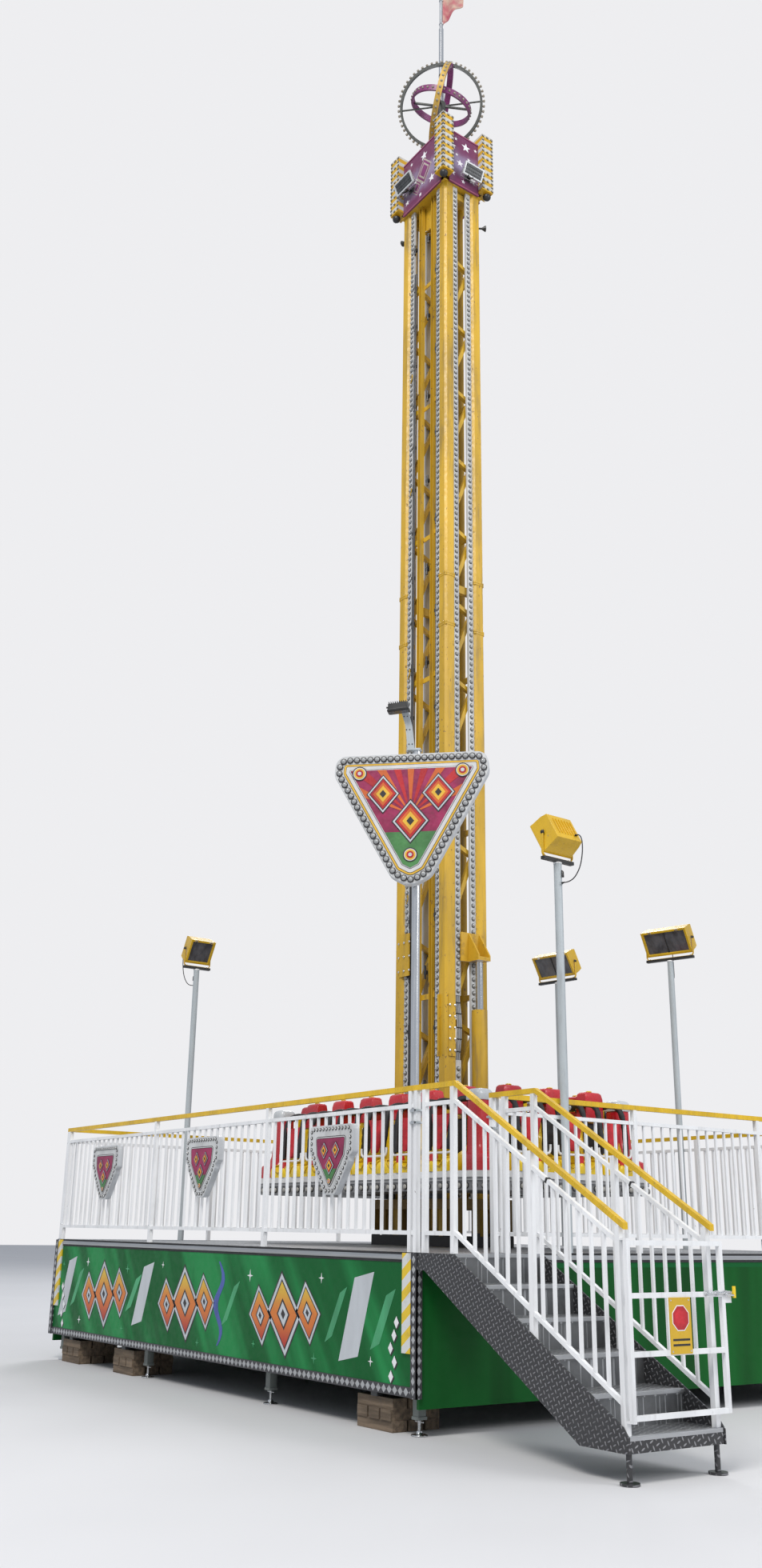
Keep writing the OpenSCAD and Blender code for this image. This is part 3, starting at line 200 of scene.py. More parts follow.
painted("yellow_gloss", (0.66, 0.41, 0.02), 0.32, dirt=0.2, chip=0.25)
painted("handrail_yellow", (0.68, 0.43, 0.014), 0.3, dirt=0.3, chip=0.3, scale=5)
painted("tower_yellow", (0.58, 0.35, 0.02), 0.42, var=0.22, dirt=0.6, chip=0.8,
        chipcol=(0.16, 0.09, 0.05), scale=2.4)
painted("fence_white", (0.78, 0.79, 0.80), 0.35, var=0.08, dirt=0.25, chip=0.15,
        chipcol=(0.3, 0.29, 0.28), scale=4)
painted("strip_grey", (0.55, 0.56, 0.56), dirt=0.35, scale=5)
painted("dark_steel", (0.06, 0.062, 0.066), 0.5, dirt=0.3, chip=0.2, scale=6)
painted("black_rubber", (0.018, 0.018, 0.02), 0.62, var=0.3, scale=8, skin=0.6)
painted("shell_red", (0.50, 0.012, 0.02), 0.28, var=0.2, dirt=0.15, coat=0.3)
painted("shell_yellow", (0.80, 0.55, 0.01), 0.3, dirt=0.12, coat=0.3)
painted("wire_rope", (0.16, 0.15, 0.14), 0.5, metal=0.7, scale=20)
painted("mast_grey", (0.42, 0.46, 0.48), 0.35, var=0.1, dirt=0.3, chip=0.2, scale=5)
painted("jack_grey", (0.17, 0.19, 0.18), 0.5, var=0.2, dirt=0.4, chip=0.4, scale=6)
# Timber colour darkened as painted shade under the deck, with dirt and cloudy grain over it
painted("shaded_timber", (0.17, 0.125, 0.085), 0.8, var=0.45, dirt=0.5, scale=7, streak=(0.3, 4, 4))
painted("ring_dark", (0.05, 0.055, 0.05), 0.45, scale=8)
painted("vest_red", (0.50, 0.02, 0.03), 0.7, var=0.35, scale=9, skin=0.9, streak=(1, 1, 1))
painted("star_white", (0.80, 0.80, 0.82), var=0.08, scale=6)
painted("panel_edge", (0.30, 0.08, 0.16), scale=6)
painted("ribbon_gold", (0.52, 0.33, 0.06), var=0.3, dirt=0.4, scale=5)
painted("ribbon_purple", (0.20, 0.03, 0.14), var=0.35, scale=5)
painted("sign_border", (0.55, 0.57, 0.59), 0.35, var=0.06, dirt=0.25, scale=4)
painted("sign_dark_line", (0.022, 0.018, 0.02), scale=6)
painted("sign_silver_line", (0.60, 0.60, 0.60), 0.3, var=0.08, scale=6)
painted("sign_pink", (0.27, 0.016, 0.075), 0.35, var=0.4, scale=5, streak=(1, 1, 1))
painted("sign_green", (0.06, 0.20, 0.06), 0.35, var=0.3, scale=5, streak=(1, 1, 1))
painted("sign_orange", (0.58, 0.12, 0.02), 0.35, var=0.2, scale=6)
painted("sign_crimson", (0.42, 0.015, 0.02), 0.35, var=0.2, scale=6)
painted("sign_sun", (0.70, 0.42, 0.04), 0.35, var=0.15, scale=6)
painted("crown_beige", (0.42, 0.36, 0.32), var=0.2, scale=5)
painted("art_silver", (0.50, 0.53, 0.56), 0.35, var=0.12, scale=3)
painted("art_blue", (0.05, 0.09, 0.34), 0.35, var=0.3, scale=6)
painted("art_mint", (0.05, 0.33, 0.14), 0.35, var=0.3, scale=3)
painted("hose_cover", (0.30, 0.31, 0.32), 0.5, var=0.25, scale=20)
painted("flood_face", (0.055, 0.058, 0.062), 0.35, var=0.3, scale=12)
painted("flood_glass", (0.10, 0.10, 0.11), 0.08, var=0.4, scale=12, skin=0.05)
painted("lamp_cap_black", (0.02, 0.02, 0.02), scale=8)
painted("trim_red", (0.60, 0.02, 0.02), 0.3, scale=6)
painted("lamp_dome_grey", (0.55, 0.57, 0.58), 0.22, var=0.06, coat=0.4)
brushed("bright_steel", (0.70, 0.71, 0.72), 0.2)
brushed("edge_aluminium", (0.50, 0.51, 0.52), 0.34, axis=0)
chequer("deck_chequer", (0.42, 0.43, 0.44), "xy", 0.05)
chequer("stair_chequer", (0.24, 0.24, 0.25), "xz", 0.038, dark=0.32)
chequer("step_front", (0.30, 0.30, 0.31), "yz", 0.045, dark=0.25)
for name, col, rough in (("lamp_glass", (0.33, 0.34, 0.34), 0.12), ("lamp_smoked", (0.30, 0.27, 0.22), 0.15),
                         ("lamp_dull", (0.36, 0.35, 0.32), 0.3)):
    mats[name] = Mat(name).out(col, rough).m
mats["lamp_glass"].node_tree.nodes["Principled BSDF"].inputs["Coat Weight"].default_value = 0.5

m = Mat("flag_cloth")
c = m.stain((0.34, 0.06, 0.09), (0.44, 0.15, 0.15), 5, 4, 0.35, 0.65)
weave = m.n("ShaderNodeTexWave", wave_type="BANDS", bands_direction="Z")
weave.inputs["Scale"].default_value = 160
m.put(weave.inputs["Vector"], m.pos())
m.out(m.stain(c, (0.46, 0.36, 0.27), 3.2, 3, 0.42, 0.62, 0.85), 0.85)
m.b.inputs["Sheen Weight"].default_value = 0.3
mats["flag_cloth"] = m.bump(weave.outputs["Fac"], 0.0006, 0.3)

# CAD nodes by material. All others are dark steel, also those that pieces below replace or dress again
USE = {
    "deck_chequer": "deck_floor stair_treads",
    "stair_chequer": "stair_stringers",
    "shaded_timber": "timber_blocks",
    "fence_white": "stair_rails gate_frame fence_front fence_left fence_right fence_back",
    "handrail_yellow": "handrails",
    "yellow_gloss": "gate_plate",
    "bright_steel": "sign_mast flagpole",
    "tower_yellow": "tower_posts lattice_right lattice_left guide_rails hinge_plates cylinder_barrel"
                    " tower_head",
    "strip_grey": "light_strips",
    "wire_rope": "hoist_ropes",
    "ring_dark": "crown_rings",
    "shell_yellow": "seat_backs",
    "mast_grey": "flood_masts",
}


def dress(node, mat):
    N[node].data.materials.clear()
    N[node].data.materials.append(mat)


for node in N:
    dress(node, mats["dark_steel"])
for name, nodes in USE.items():
    for node in nodes.split():
        dress(node, mats[name])


# Mesh helpers
def T(x=0, y=0, z=0, rz=0, rx=0, ry=0):
    """Matrix of turns about x, y and z, in degrees, and then a shift."""
    return (Matrix.Translation((x, y, z)) @ Matrix.Rotation(radians(rz), 4, "Z")
            @ Matrix.Rotation(radians(ry), 4, "Y") @ Matrix.Rotation(radians(rx), 4, "X"))


I4 = Matrix()
FRONT = (0, -1, 0)
CORNERS = ((-1, -1), (-1, 1), (1, -1), (1, 1))


def face_to(p, d=FRONT):
    """Matrix at p whose z axis points along d."""
    return Matrix.Translation(p) @ Vector(d).to_track_quat("Z", "Y").to_matrix().to_4x4()


def mm(*pts):
    """Points given in millimetres."""
    return [tuple(c / 1000 for c in p) for p in pts]


def circle(r, n, turn=0.0, x=0, z=0, wide=1.0):
    return [(x + r * wide * cos(2 * pi * i / n + turn), z + r * sin(2 * pi * i / n + turn)) for i in range(n)]


def rect(x0, x1, y0, y1, z):
    """Level ring of four points."""
    return [(x0, y0, z), (x1, y0, z), (x1, y1, z), (x0, y1, z)]


def pane(w, h, y, drop=0.0):
    """Upright ring of four points, half sizes w and h, its top lowered by drop."""
    return [(-w, y, -h), (w, y, -h), (w, y, h - drop), (-w, y, h - drop)]


def rbox(cx, cy, hx, hy, r, z, seg=5):
    """Level rounded rectangle."""
    out = []
    for sx, sy, a0 in ((1, 1, 0), (-1, 1, 90), (-1, -1, 180), (1, -1, 270)):
        for k in range(seg + 1):
            a = radians(a0 + 90 * k / seg)
            out.append((cx + sx * (hx - r) + r * cos(a), cy + sy * (hy - r) + r * sin(a), z))
    return out


def grid(na, nb):
    """Faces of na rows of nb points."""
    return [(i * nb + j, i * nb + j + 1, (i + 1) * nb + j + 1, (i + 1) * nb + j)
            for i in range(na - 1) for j in range(nb - 1)]


def smooth_line(pts, n):
    """Catmull-Rom curve through pts, n points."""
    ends = [tuple(2 * a - b for a, b in zip(*q)) for q in (pts[:2], pts[:-3:-1])]
    P, out = [ends[0], *pts, ends[1]], []
    for i in range(n):
        s = i / (n - 1) * (len(pts) - 1)
        j = min(int(s), len(pts) - 2)
        t = s - j
        out.append(tuple(0.5 * (2 * b + (c - a) * t + (2 * a - 5 * b + 4 * c - d) * t * t
                                + (3 * b - a - 3 * c + d) * t ** 3) for a, b, c, d in zip(*P[j:j + 4])))
    return out


class Build:
    """Collects faces for one piece, each with its material."""

    def __init__(self, name, body, *mat):
        self.name, self.body = name, body
        self.mats = [mats[q] if isinstance(q, str) else q for q in mat]
        self.v, self.f, self.mi = [], [], []

    def add(self, verts, faces, mi=0, at=I4):
        b = len(self.v)
        self.v += [tuple(at @ Vector(p)) for p in verts]
        self.f += [tuple(i + b for i in q) for q in faces]
        self.mi += mi if isinstance(mi, list) else [mi] * len(faces)

    def box(self, lo, hi, mi=0, at=I4):
        vs = [(x, y, z) for x in (lo[0], hi[0]) for y in (lo[1], hi[1]) for z in (lo[2], hi[2])]
        self.add(vs, [(0, 1, 3, 2), (4, 6, 7, 5), (0, 4, 5, 1), (2, 3, 7, 6), (0, 2, 6, 4), (1, 5, 7, 3)],
                 mi, at)

    def rings(self, rows, mi=0, at=I4, loop=False):
        """Rings of equal length joined in order, capped unless the last joins the first."""
        k, n = len(rows), len(rows[0])
        fs = [(i * n + j, i * n + (j + 1) % n, (i + 1) % k * n + (j + 1) % n, (i + 1) % k * n + j)
              for i in range(k if loop else k - 1) for j in range(n)]
        if not loop:
            fs += [tuple(range(n - 1, -1, -1)), tuple(range((k - 1) * n, k * n))]
        self.add([p for q in rows for p in q], fs, mi, at)

    def prism(self, pts, y0, y1, mi=0, at=I4):
        """Outline of (x, z) points between the planes y0 and y1."""
        self.rings([[(x, y, z) for x, z in pts] for y in (y0, y1)], mi, at)

    def lathe(self, prof, n=16, mi=0, at=I4):
        """Profile of (radius, z) points turned about z."""
        self.rings([[(x, y, z) for x, y in circle(r, n)] for r, z in prof], mi, at)

    def tube(self, path, rad, n=8, mi=0, at=I4, closed=False, flat=1.0, up=None):
        """Round bar along a path; flat squeezes it across, and up sets that side."""
        P, rows = [Vector(p) for p in path], []
        k = len(P)
        q = Vector(up) if up else None
        for i, p in enumerate(P):
            after = P[(i + 1) % k if closed else min(i + 1, k - 1)]
            d = (after - P[i - 1 if closed or i else 0]).normalized()
            if q is None:
                q = Vector((0, 0, 1) if abs(d.z) < 0.9 else (1, 0, 0))
            q = (q - d * q.dot(d)).normalized()
            s, r = d.cross(q), rad[i] if isinstance(rad, list) else rad
            turns = [2 * pi * (j + 0.5) / n for j in range(n)]
            rows.append([p + q * cos(t) * r * flat + s * sin(t) * r for t in turns])
        self.rings(rows, mi, at, closed)

    def bolt(self, p, r, h, mi=1, at=I4, d=FRONT):
        self.lathe([(r, 0), (r, h), (r / 2, h + 0.002)], 6, mi, at @ face_to(p, d))

    def done(self, bevel=0.0, smooth=True, rounder=False, angle=35):
        me = bpy.data.meshes.new(self.name)
        me.from_pydata(self.v, [], self.f)
        o = bpy.data.objects.new(self.name, me)
        scene.collection.objects.link(o)
        for q in self.mats:
            me.materials.append(q)
        me.polygons.foreach_set("material_index", self.mi)
        me.polygons.foreach_set("use_smooth", [smooth] * len(self.f))
        bm = bmesh.new()
        bm.from_mesh(me)
        bmesh.ops.recalc_face_normals(bm, faces=bm.faces)
        for e in bm.edges:
            if smooth and len(e.link_faces) == 2 and e.calc_face_angle(0) > radians(angle):
                e.smooth = False
        bm.to_mesh(me)
        bm.free()
        if bevel:
            q = o.modifiers.new("bevel", "BEVEL")
            q.width, q.segments, q.limit_method, q.angle_limit = bevel, 2, "ANGLE", radians(30)
        if rounder:
            q = o.modifiers.new("sub", "SUBSURF")
            q.levels = q.render_levels = 1
        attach(o, self.body)
        return o


def quilt(b, front, back, na, nb, at):
    """Closed cushion of two grids of na rows of nb points."""
    k, fs = len(front), grid(na, nb)
    fs += [tuple(q + k for q in reversed(t)) for t in fs]
    edge = (list(range(nb)) + [j * nb + nb - 1 for j in range(1, na)]
            + [(na - 1) * nb + i for i in range(nb - 2, -1, -1)] + [j * nb for j in range(na - 2, 0, -1)])
    fs += [(e, p, p + k, e + k) for e, p in zip(edge, edge[-1:] + edge[:-1])]
    b.add(front + back, fs, 0, at)


def bulbs(b, places, r, mi, cup, n, at=I4):
    """A lamp at each (point, direction), with a socket ring; mi and cup are their materials."""
    for p, d in places:
        a = at @ face_to(p, d)
        b.lathe([(q * r, z * r) for q, z in ((1.0, 0.0), (0.98, 0.35), (0.8, 0.72), (0.5, 0.95), (0.16, 1.05))],
                n, mi, a)
        b.lathe([(r * 1.25, 0), (r * 1.25, r * 0.3), (r * 0.95, r * 0.45)], n, cup, a)


# Seats: row name, turn, distance from the middle and number of seats
SEAT_Z, SEAT_PITCH = 1.917, 0.53
ROWS = (("front", 180, 0.62, 6), ("back", 0, 0.62, 6), ("left", 90, 1.62, 3), ("right", -90, 1.62, 3))


def row(turn, out, n):
    """Frame of each seat of a row, and its place along the row."""
    return [(T(rz=turn) @ T(u, out, SEAT_Z), u) for u in [(i - (n - 1) / 2) * SEAT_PITCH for i in range(n)]]


SEATS = [q[0] for _, *r in ROWS for q in row(*r)]

# Seat shells: outlines (outwards, up) over the middle and over the wings, and half the stations across
MID = mm((0, 0), (0, 300), (0, 530), (30, 545), (75, 540), (100, 500), (112, 420), (122, 300), (135, 200),
         (160, 125), (220, 92), (300, 88), (380, 92), (450, 100), (505, 108), (535, 100), (548, 70), (545, 30),
         (540, 0))
WING = mm((0, 0), (0, 300), (0, 530), (30, 545), (120, 545), (180, 530), (215, 470), (235, 380), (255, 280),
          (285, 205), (325, 165), (370, 140), (410, 128), (460, 124), (505, 122), (535, 108), (548, 70),
          (545, 30), (540, 0))
HALF = [256, 254, 244, 226, 206, 188, 170, 150, 120, 90, 60, 35, 15, 0]
WING_IN, WING_RUN = 0.168, 0.045
EDGE_IN, EDGE_RUN, EDGE_DROP = 0.244, 0.012, 0.0108
SCOOP, SCOOP_NOSE = 0.05, 0.03
seat = []
for x in [-x / 1000 for x in HALF] + [x / 1000 for x in HALF[-2::-1]]:
    k = min(1, max(0, (abs(x) - WING_IN) / WING_RUN))
    k = k * k * (3 - 2 * k)
    edge = EDGE_DROP * max(0, (abs(x) - EDGE_IN) / EDGE_RUN)
    dip = (1 - k) * sin(pi * min(1, max(0, (abs(x) - 0.02) / 0.17)))
    for j, (p, q) in enumerate(zip(MID, WING)):
        v, z = p[0] * (1 - k) + q[0] * k, p[1] * (1 - k) + q[1] * k
        if j > 8:
            if z > 0.05:
                z -= SCOOP * dip * min(1, max(0, (v - 0.16) / 0.2))
            v -= SCOOP_NOSE * dip * max(0, (v - 0.5) / 0.045)
        if j > 2:
            v -= edge
            z -= edge if z > 0.05 else 0
        seat.append((x, v, z))
n, k = len(MID), len(seat)
b = Build("seat_mouldings", "gondola", "shell_yellow")
for at in SEATS:
    b.add(seat, grid(k // n, n) + [tuple(range(n)), tuple(range(k - n, k))[::-1]], 0, at)
o = b.done(rounder=True, angle=80)
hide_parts("seat_pans", "seat_wings")

# Bright rims round the scoops and red saddles between the legs
RIM = mm((22, 400, 98), (26, 500, 110), (45, 535, 100), (75, 532, 66), (105, 528, 52), (140, 530, 60),
         (172, 536, 92), (196, 525, 122), (206, 460, 132), (212, 380, 146), (218, 320, 172), (222, 285, 215),
         (225, 255, 290), (226, 236, 390), (224, 212, 485), (215, 175, 535))
SADDLE = mm((-20, 85), (-27, 130), (-20, 160), (20, 160), (27, 130), (20, 85))
b = Build("seat_rims", "gondola", "handrail_yellow", "trim_red")
for at in SEATS:
    for s in (-1, 1):
        b.tube(smooth_line([(s * x, y, z) for x, y, z in RIM], 40), 0.0085, 6, 0, at)
    b.prism(SADDLE, 0.47, 0.532, 1, at)
o = b.done(angle=40)

# Back pads with sewn channels
front, back = [], []
for i in range(13):
    x = -0.15 + 0.30 * i / 12
    for j in range(17):
        z = 0.17 + 0.34 * j / 16
        e = min(1, (0.15 - abs(x)) / 0.03) ** 0.5 * min(1, min(z - 0.165, 0.515 - z) / 0.03) ** 0.5
        g = 0.006 * abs(sin((z - 0.17) / 0.34 * pi * 4)) ** 0.5 + 0.004 * cos(x * 12)
        lean = 0.06 * (z - 0.19)
        front.append((x, 0.122 - lean + e * (0.03 + g), z))
        back.append((x, 0.10 - lean, z))
b = Build("back_pads", "gondola", "black_rubber")
for at in SEATS:
    quilt(b, front, back, 13, 17, at)
o = b.done(angle=60)
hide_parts("seat_pads")

# Head boxes: red mouldings with a sloping front and a yellow knob
b = Build("head_mouldings", "gondola", "shell_red", "yellow_gloss")
for at in SEATS:
    b.rings([rect(-w, w, y0, y1, z) for z, w, y0, y1 in mm(
        (546, 120, 46, 184), (600, 120, 46, 185), (740, 118, 50, 183), (790, 108, 55, 172), (806, 90, 70, 155))],
        0, at)
    b.lathe([(0.026, 0.0), (0.03, 0.006), (0.03, 0.014), (0.014, 0.018)], 12, 1, at @ T(0, 0.11, 0.806))
o = b.done(bevel=0.008)
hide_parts("head_boxes")

# Restraints: foam covered arms, knuckles, red vests and white grab bars
ARM = mm((156, 100, 665), (157, 200, 678), (158, 300, 668), (158, 365, 630), (162, 395, 570), (168, 412, 480),
         (166, 425, 380), (156, 436, 290), (146, 443, 200))
BAR = mm((215, 443, 255), (213, 443, 205), (196, 443, 180), (160, 443, 174), (0, 443, 173))
PIVOT = (0.012, 0.66)
for key, turn, out, n in ROWS:
    body = key + "_restraints"
    b = Build("arms_" + key, body, "black_rubber", "lamp_dome_grey", "bright_steel")
    for at, _ in row(turn, out, n):
        for s in (-1, 1):
            b.tube(smooth_line([(s * x, y, z) for x, y, z in ARM], 26),
                   [0.027 + 0.004 * sin(i * 0.9) ** 2 for i in range(26)], 8, 0, at)
            b.tube([(s * 0.156, *PIVOT), (s * 0.156, 0.06, 0.672), (s * 0.156, 0.12, 0.668)], 0.026, 8, 0, at)
            for x0, x1, r, sides, mi in ((0.132, 0.180, 0.042, 14, 0), (0.129, 0.133, 0.03, 12, 1),
                                         (0.179, 0.186, 0.03, 12, 1)):
                b.tube([(s * x0, *PIVOT), (s * x1, *PIVOT)], r, sides, mi, at)
    span = n * SEAT_PITCH / 2
    b.tube([(-span, *PIVOT), (span, *PIVOT)], 0.016, 12, 2, T(rz=turn) @ T(0, out, SEAT_Z))
    o = b.done(angle=50)
    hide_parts("restraints_" + key)
    b = Build("grab_bars_" + key, body, "fence_white")
    for at, _ in row(turn, out, n):
        b.tube(smooth_line([(-x, y, z) for x, y, z in BAR] + BAR[-2::-1], 25), 0.013, 8, 0, at)
    o = b.done(angle=50)
    b = Build("vests_" + key, body, "vest_red")
    for at, u in row(turn, out, n):
        front = []
        for q in [j / 14 for j in range(15)]:
            for t in [-1 + i / 6 for i in range(13)]:
                fold = 0.007 * sin(5.5 * t + 3 * q + u * 9) + 0.004 * sin(13 * t - 5 * q)
                front.append(((0.03 + 0.112 * q ** 0.8) * t, 0.438 - 0.03 * q + 0.026 * (1 - t * t) + fold,
                              0.205 + 0.335 * q - 0.018 * cos(t * 1.5) * q))
        quilt(b, front, [(x, y - 0.016, z) for x, y, z in front], 15, 13, at)
    o = b.done(angle=70)

# Lamps on the tower strips
LAMP_FOOT, LAMP_PITCH, HOSES_FROM, HOSES_TO = 1.745, 0.075, 3.09, 3.82
levels = [LAMP_FOOT + LAMP_PITCH * i for i in range(172)]
places = [((x, y * 0.2685, z), (0, y, 0)) for x in (-0.2825, 0.2825) for y in (-1, 1) for z in levels]
places += [((x * 0.442, y, z), (x, 0, 0)) for y in (-0.109, 0.109) for x in (-1, 1) for z in levels
           if not (x > 0 and y < 0 and HOSES_FROM < z < HOSES_TO)]
b = Build("tower_lamps", "base", "lamp_glass", "lamp_cap_black")
for p, d in places:
    b.lathe([(0.026, 0), (0.026, 0.003), (0.021, 0.005)], 8, 1, face_to(p, d))
    b.lathe([(0.0205, 0), (0.0205, 0.012), (0.016, 0.023), (0.007, 0.028)], 8, 0, face_to(p, d))
o = b.done(angle=80)

# Crown: chequered lamp blocks with bulb columns down their edges
CROWN_Z, BULB_STEP = 14.65, 0.0625
m = Mat("lamp_block_chequer")
s = m.xyz()
c = m.mix(m.op("MODULO", m.op("FLOOR", m.op("/", s[2], BULB_STEP)), 2), (0.52, 0.52, 0.50), (0.58, 0.34, 0.015))
c = m.stain(c, (0.2, 0.17, 0.13), 9, most=0.4)
c = m.mix(m.ramp(s[2], 14.705, 14.70), c, (0.02, 0.02, 0.022))
dress("crown_lamps", m.finish(c, 0.4, 60))
b = Build("crown_bulbs", "base", "lamp_smoked", "lamp_cap_black")
for sx, sy in CORNERS:
    cx, cy = sx * 0.5, sy * 0.34
    for k in range(15):
        z = CROWN_Z + 0.105 + k * BULB_STEP
        for e in (-0.075, 0.075) if k % 2 else (-0.075, 0.0, 0.075):
            bulbs(b, [((cx + sx * 0.09, cy + e, z), (sx, 0, 0)), ((cx + e, cy + sy * 0.09, z), (0, sy, 0))],
                  0.0155, 0, 1, 6)
    b.lathe([(0.05, 0), (0.052, 0.02), (0.04, 0.05), (0.02, 0.062)], 12, 1, face_to((cx, cy, 15.66), (0, 0, 1)))
o = b.done(angle=60)


# Crown panels: stars and nested lozenges over a plum ground that clears to lilac
def star(cx, cz, r, k=0.42, n=5, turn=90):
    """Outline of a star of n points, k the share of r between them."""
    outer, inner = (circle(q, n, radians(turn) + a, cx, cz) for q, a in ((r, 0), (r * k, pi / n)))
    return [p for pair in zip(outer, inner) for p in pair]


m = Mat("crown_ground")
s = m.xyz()
q = m.op("+", m.op("*", m.op("ABSOLUTE", m.op("-", s[2], 15.02)), 2.4), m.op("*", m.noise(3, 4), 0.9))
c = m.mix(m.ramp(q, 0.55, 1.15), (0.27, 0.21, 0.33), (0.15, 0.028, 0.09))
dress("crown_panels", m.finish(m.stain(c, (0.26, 0.09, 0.17), 7, 5, most=0.5), 0.4, 90, 0.0008, 0.2))
STARS = mm((-270, 620, 55), (50, 700, 75), (260, 470, 45), (-100, 380, 60), (200, 200, 70), (-280, 170, 50),
           (-20, 100, 35), (120, 520, 30), (-200, 760, 30), (-180, 500, 28), (20, 260, 26), (290, 740, 30),
           (-300, 320, 24), (300, 330, 22))
LOZENGES = mm((-320, 520, 130, 170), (60, 440, 170, 220), (-100, 270, 100, 130))
b = Build("crown_stars", "base", "star_white", "panel_edge", "crown_beige", "ribbon_purple")
for a, out, half in ((0, 0.34, 0.41), (180, 0.34, 0.41), (90, 0.5, 0.25), (-90, 0.5, 0.25)):
    at = T(rz=a) @ T(0, -out, CROWN_Z)
    for x, z, r in STARS:
        b.prism(star(x * half / 0.36, z, r), -0.0022, 0.001, 0, at)
    for x, z, w, h in LOZENGES if a % 180 == 0 else ():
        for k, e in enumerate((1.0, 0.86, 0.66, 0.50)):
            b.prism([(x - w * e, z - 0.02 * e), (x, z - h * e), (x + w * e, z + 0.02 * e), (x, z + h * e)],
                    -0.0024 - 0.001 * k, 0.001, 3 if k % 2 else 2, at)
    for z in (0.005, 0.855):
        b.prism([(-half, z - 0.006), (half, z - 0.006), (half, z + 0.012), (-half, z + 0.012)], -0.008, 0.002,
                1, at)
b.done(smooth=False)

# Rings: frame, inner and outer radius, half width, materials round the section, and their lamps
RING_Z = 16.47
SOCKET = [(0.017, -0.002), (0.017, 0.006), (0.012, 0.014), (0.005, 0.017)]
CANDLE = [(0.013, -0.002), (0.013, 0.010), (0.019, 0.012), (0.019, 0.030), (0.012, 0.036)]
b = Build("ring_skins", "base", "ring_dark", "ribbon_gold", "ribbon_purple", "lamp_smoked")
for at, r0, r1, w, mi, lamps, prof, sides in (
        (T(0, 0, RING_Z, 45, 112), 0.5535, 0.5862, 0.0256, [0, 0, 0, 0], 54, CANDLE, 6),
        (T(0, 0, RING_Z, 45, 0, 14) @ T(rz=10, ry=90), 0.5245, 0.5566, 0.0406, [2, 1, 2, 2], 40, SOCKET, 8),
        (T(0, 0, RING_Z, 45, 12, 17), 0.3995, 0.4306, 0.0406, [2, 2, 2, 2], 34, SOCKET, 8)):
    b.rings([[(x * r0, y * r0, -w), (x * r1, y * r1, -w), (x * r1, y * r1, w), (x * r0, y * r0, w)]
             for x, y in circle(1, 96)], mi * 96, at, loop=True)
    for x, y in circle(1, lamps):
        d = Vector((x, y, 0))
        b.lathe(prof, sides, 3, face_to(at @ (d * r1), at.to_3x3() @ d))
b.done(angle=40)


# Corner sign and fence signs
def rounded(pts, rads, seg=7):
    """Outline of (x, z) points with each corner rounded."""
    out, n = [], len(pts)
    for i, r in enumerate(rads):
        p, a, c = Vector(pts[i]), Vector(pts[i - 1]), Vector(pts[(i + 1) % n])
        u1, u2 = (a - p).normalized(), (c - p).normalized()
        ang = u1.angle(u2)
        t = min(r / tan(ang / 2), 0.49 * (a - p).length, 0.49 * (c - p).length)
        r = t * tan(ang / 2)
        ctr = p + (u1 + u2).normalized() * (r / sin(ang / 2))
        s0, s1 = p + u1 * t - ctr, p + u2 * t - ctr
        a0, a1 = atan2(s0.y, s0.x), atan2(s1.y, s1.x)
        d = (a1 - a0 + pi) % (2 * pi) - pi
        out += [(ctr.x + r * cos(a0 + d * k / seg), ctr.y + r * sin(a0 + d * k / seg)) for k in range(seg + 1)]
    return out


def inset(pts, e):
    """Moves every side of the outline inwards by e."""
    n, out = len(pts), []
    area = sum(pts[i - 1][0] * pts[i][1] - pts[i][0] * pts[i - 1][1] for i in range(n))
    way = 1 if area > 0 else -1
    for i in range(n):
        p, a, c = Vector(pts[i]), Vector(pts[i - 1]), Vector(pts[(i + 1) % n])
        n1, n2 = (Vector((-s.y, s.x)).normalized() * way for s in (p - a, c - p))
        k = n1 + n2
        out.append(tuple(p + k.normalized() * min(e / max(0.3, k.length / 2), 3 * e)))
    return out


def along(pts, pitch):
    """Points about pitch apart round a closed outline."""
    P = [Vector(p) for p in pts] + [Vector(pts[0])]
    runs = [(q - p).length for p, q in zip(P, P[1:])]
    n = max(3, round(sum(runs) / pitch))
    out, i, base = [], 0, 0.0
    for k in range(n):
        s = sum(runs) * k / n
        while s > base + runs[i]:
            base += runs[i]
            i += 1
        out.append(tuple(P[i].lerp(P[i + 1], (s - base) / runs[i])))
    return out


def clip(pts, keep):
    """Part of a convex outline where keep(x, z) is positive."""
    out = []
    for a, c in zip(pts[-1:] + pts[:-1], pts):
        ka, kc = keep(*a), keep(*c)
        if ka * kc < 0:
            t = ka / (ka - kc)
            out.append((a[0] + (c[0] - a[0]) * t, a[1] + (c[1] - a[1]) * t))
        if kc >= 0:
            out.append(c)
    return out


def nested(b, x, z, r, y, step, layers, at, n=20, wide=1.0):
    """Flat plates of n corners, one on another: shares of r with their materials."""
    for k, (q, mi) in enumerate(layers):
        top = y - step * k
        b.prism(circle(r * q, n, 0, x, z, wide), top, top + 0.0022, mi, at)


# Places of the materials in both kinds of sign
SIGN = ("sign_border", "strip_grey", "lamp_glass", "sign_silver_line", "sign_dark_line", "sign_pink",
        "sign_green", "sign_orange", "sign_sun", "sign_crimson", "art_silver")
BADGE = ((1.0, 4), (0.86, 3), (0.74, 8), (0.5, 9), (0.26, 10))
MAST = T(3.19, -2.753, 0, 45)
FACE, BORDER = -0.1215, 0.085
CORNER = [(-0.6625, 5.15), (0.6025, 5.15), (0.6175, 4.975), (0.135, 4.10), (-0.03, 4.01), (-0.195, 4.10),
          (-0.6775, 4.975)]


def layer(e):
    """The corner sign's outline, its sides moved inwards by e borders."""
    e *= BORDER
    return rounded(inset(CORNER, e), [max(q - e, 0.012) for q in (0.10, 0.10, 0.12, 0.13, 0.15, 0.13, 0.12)])


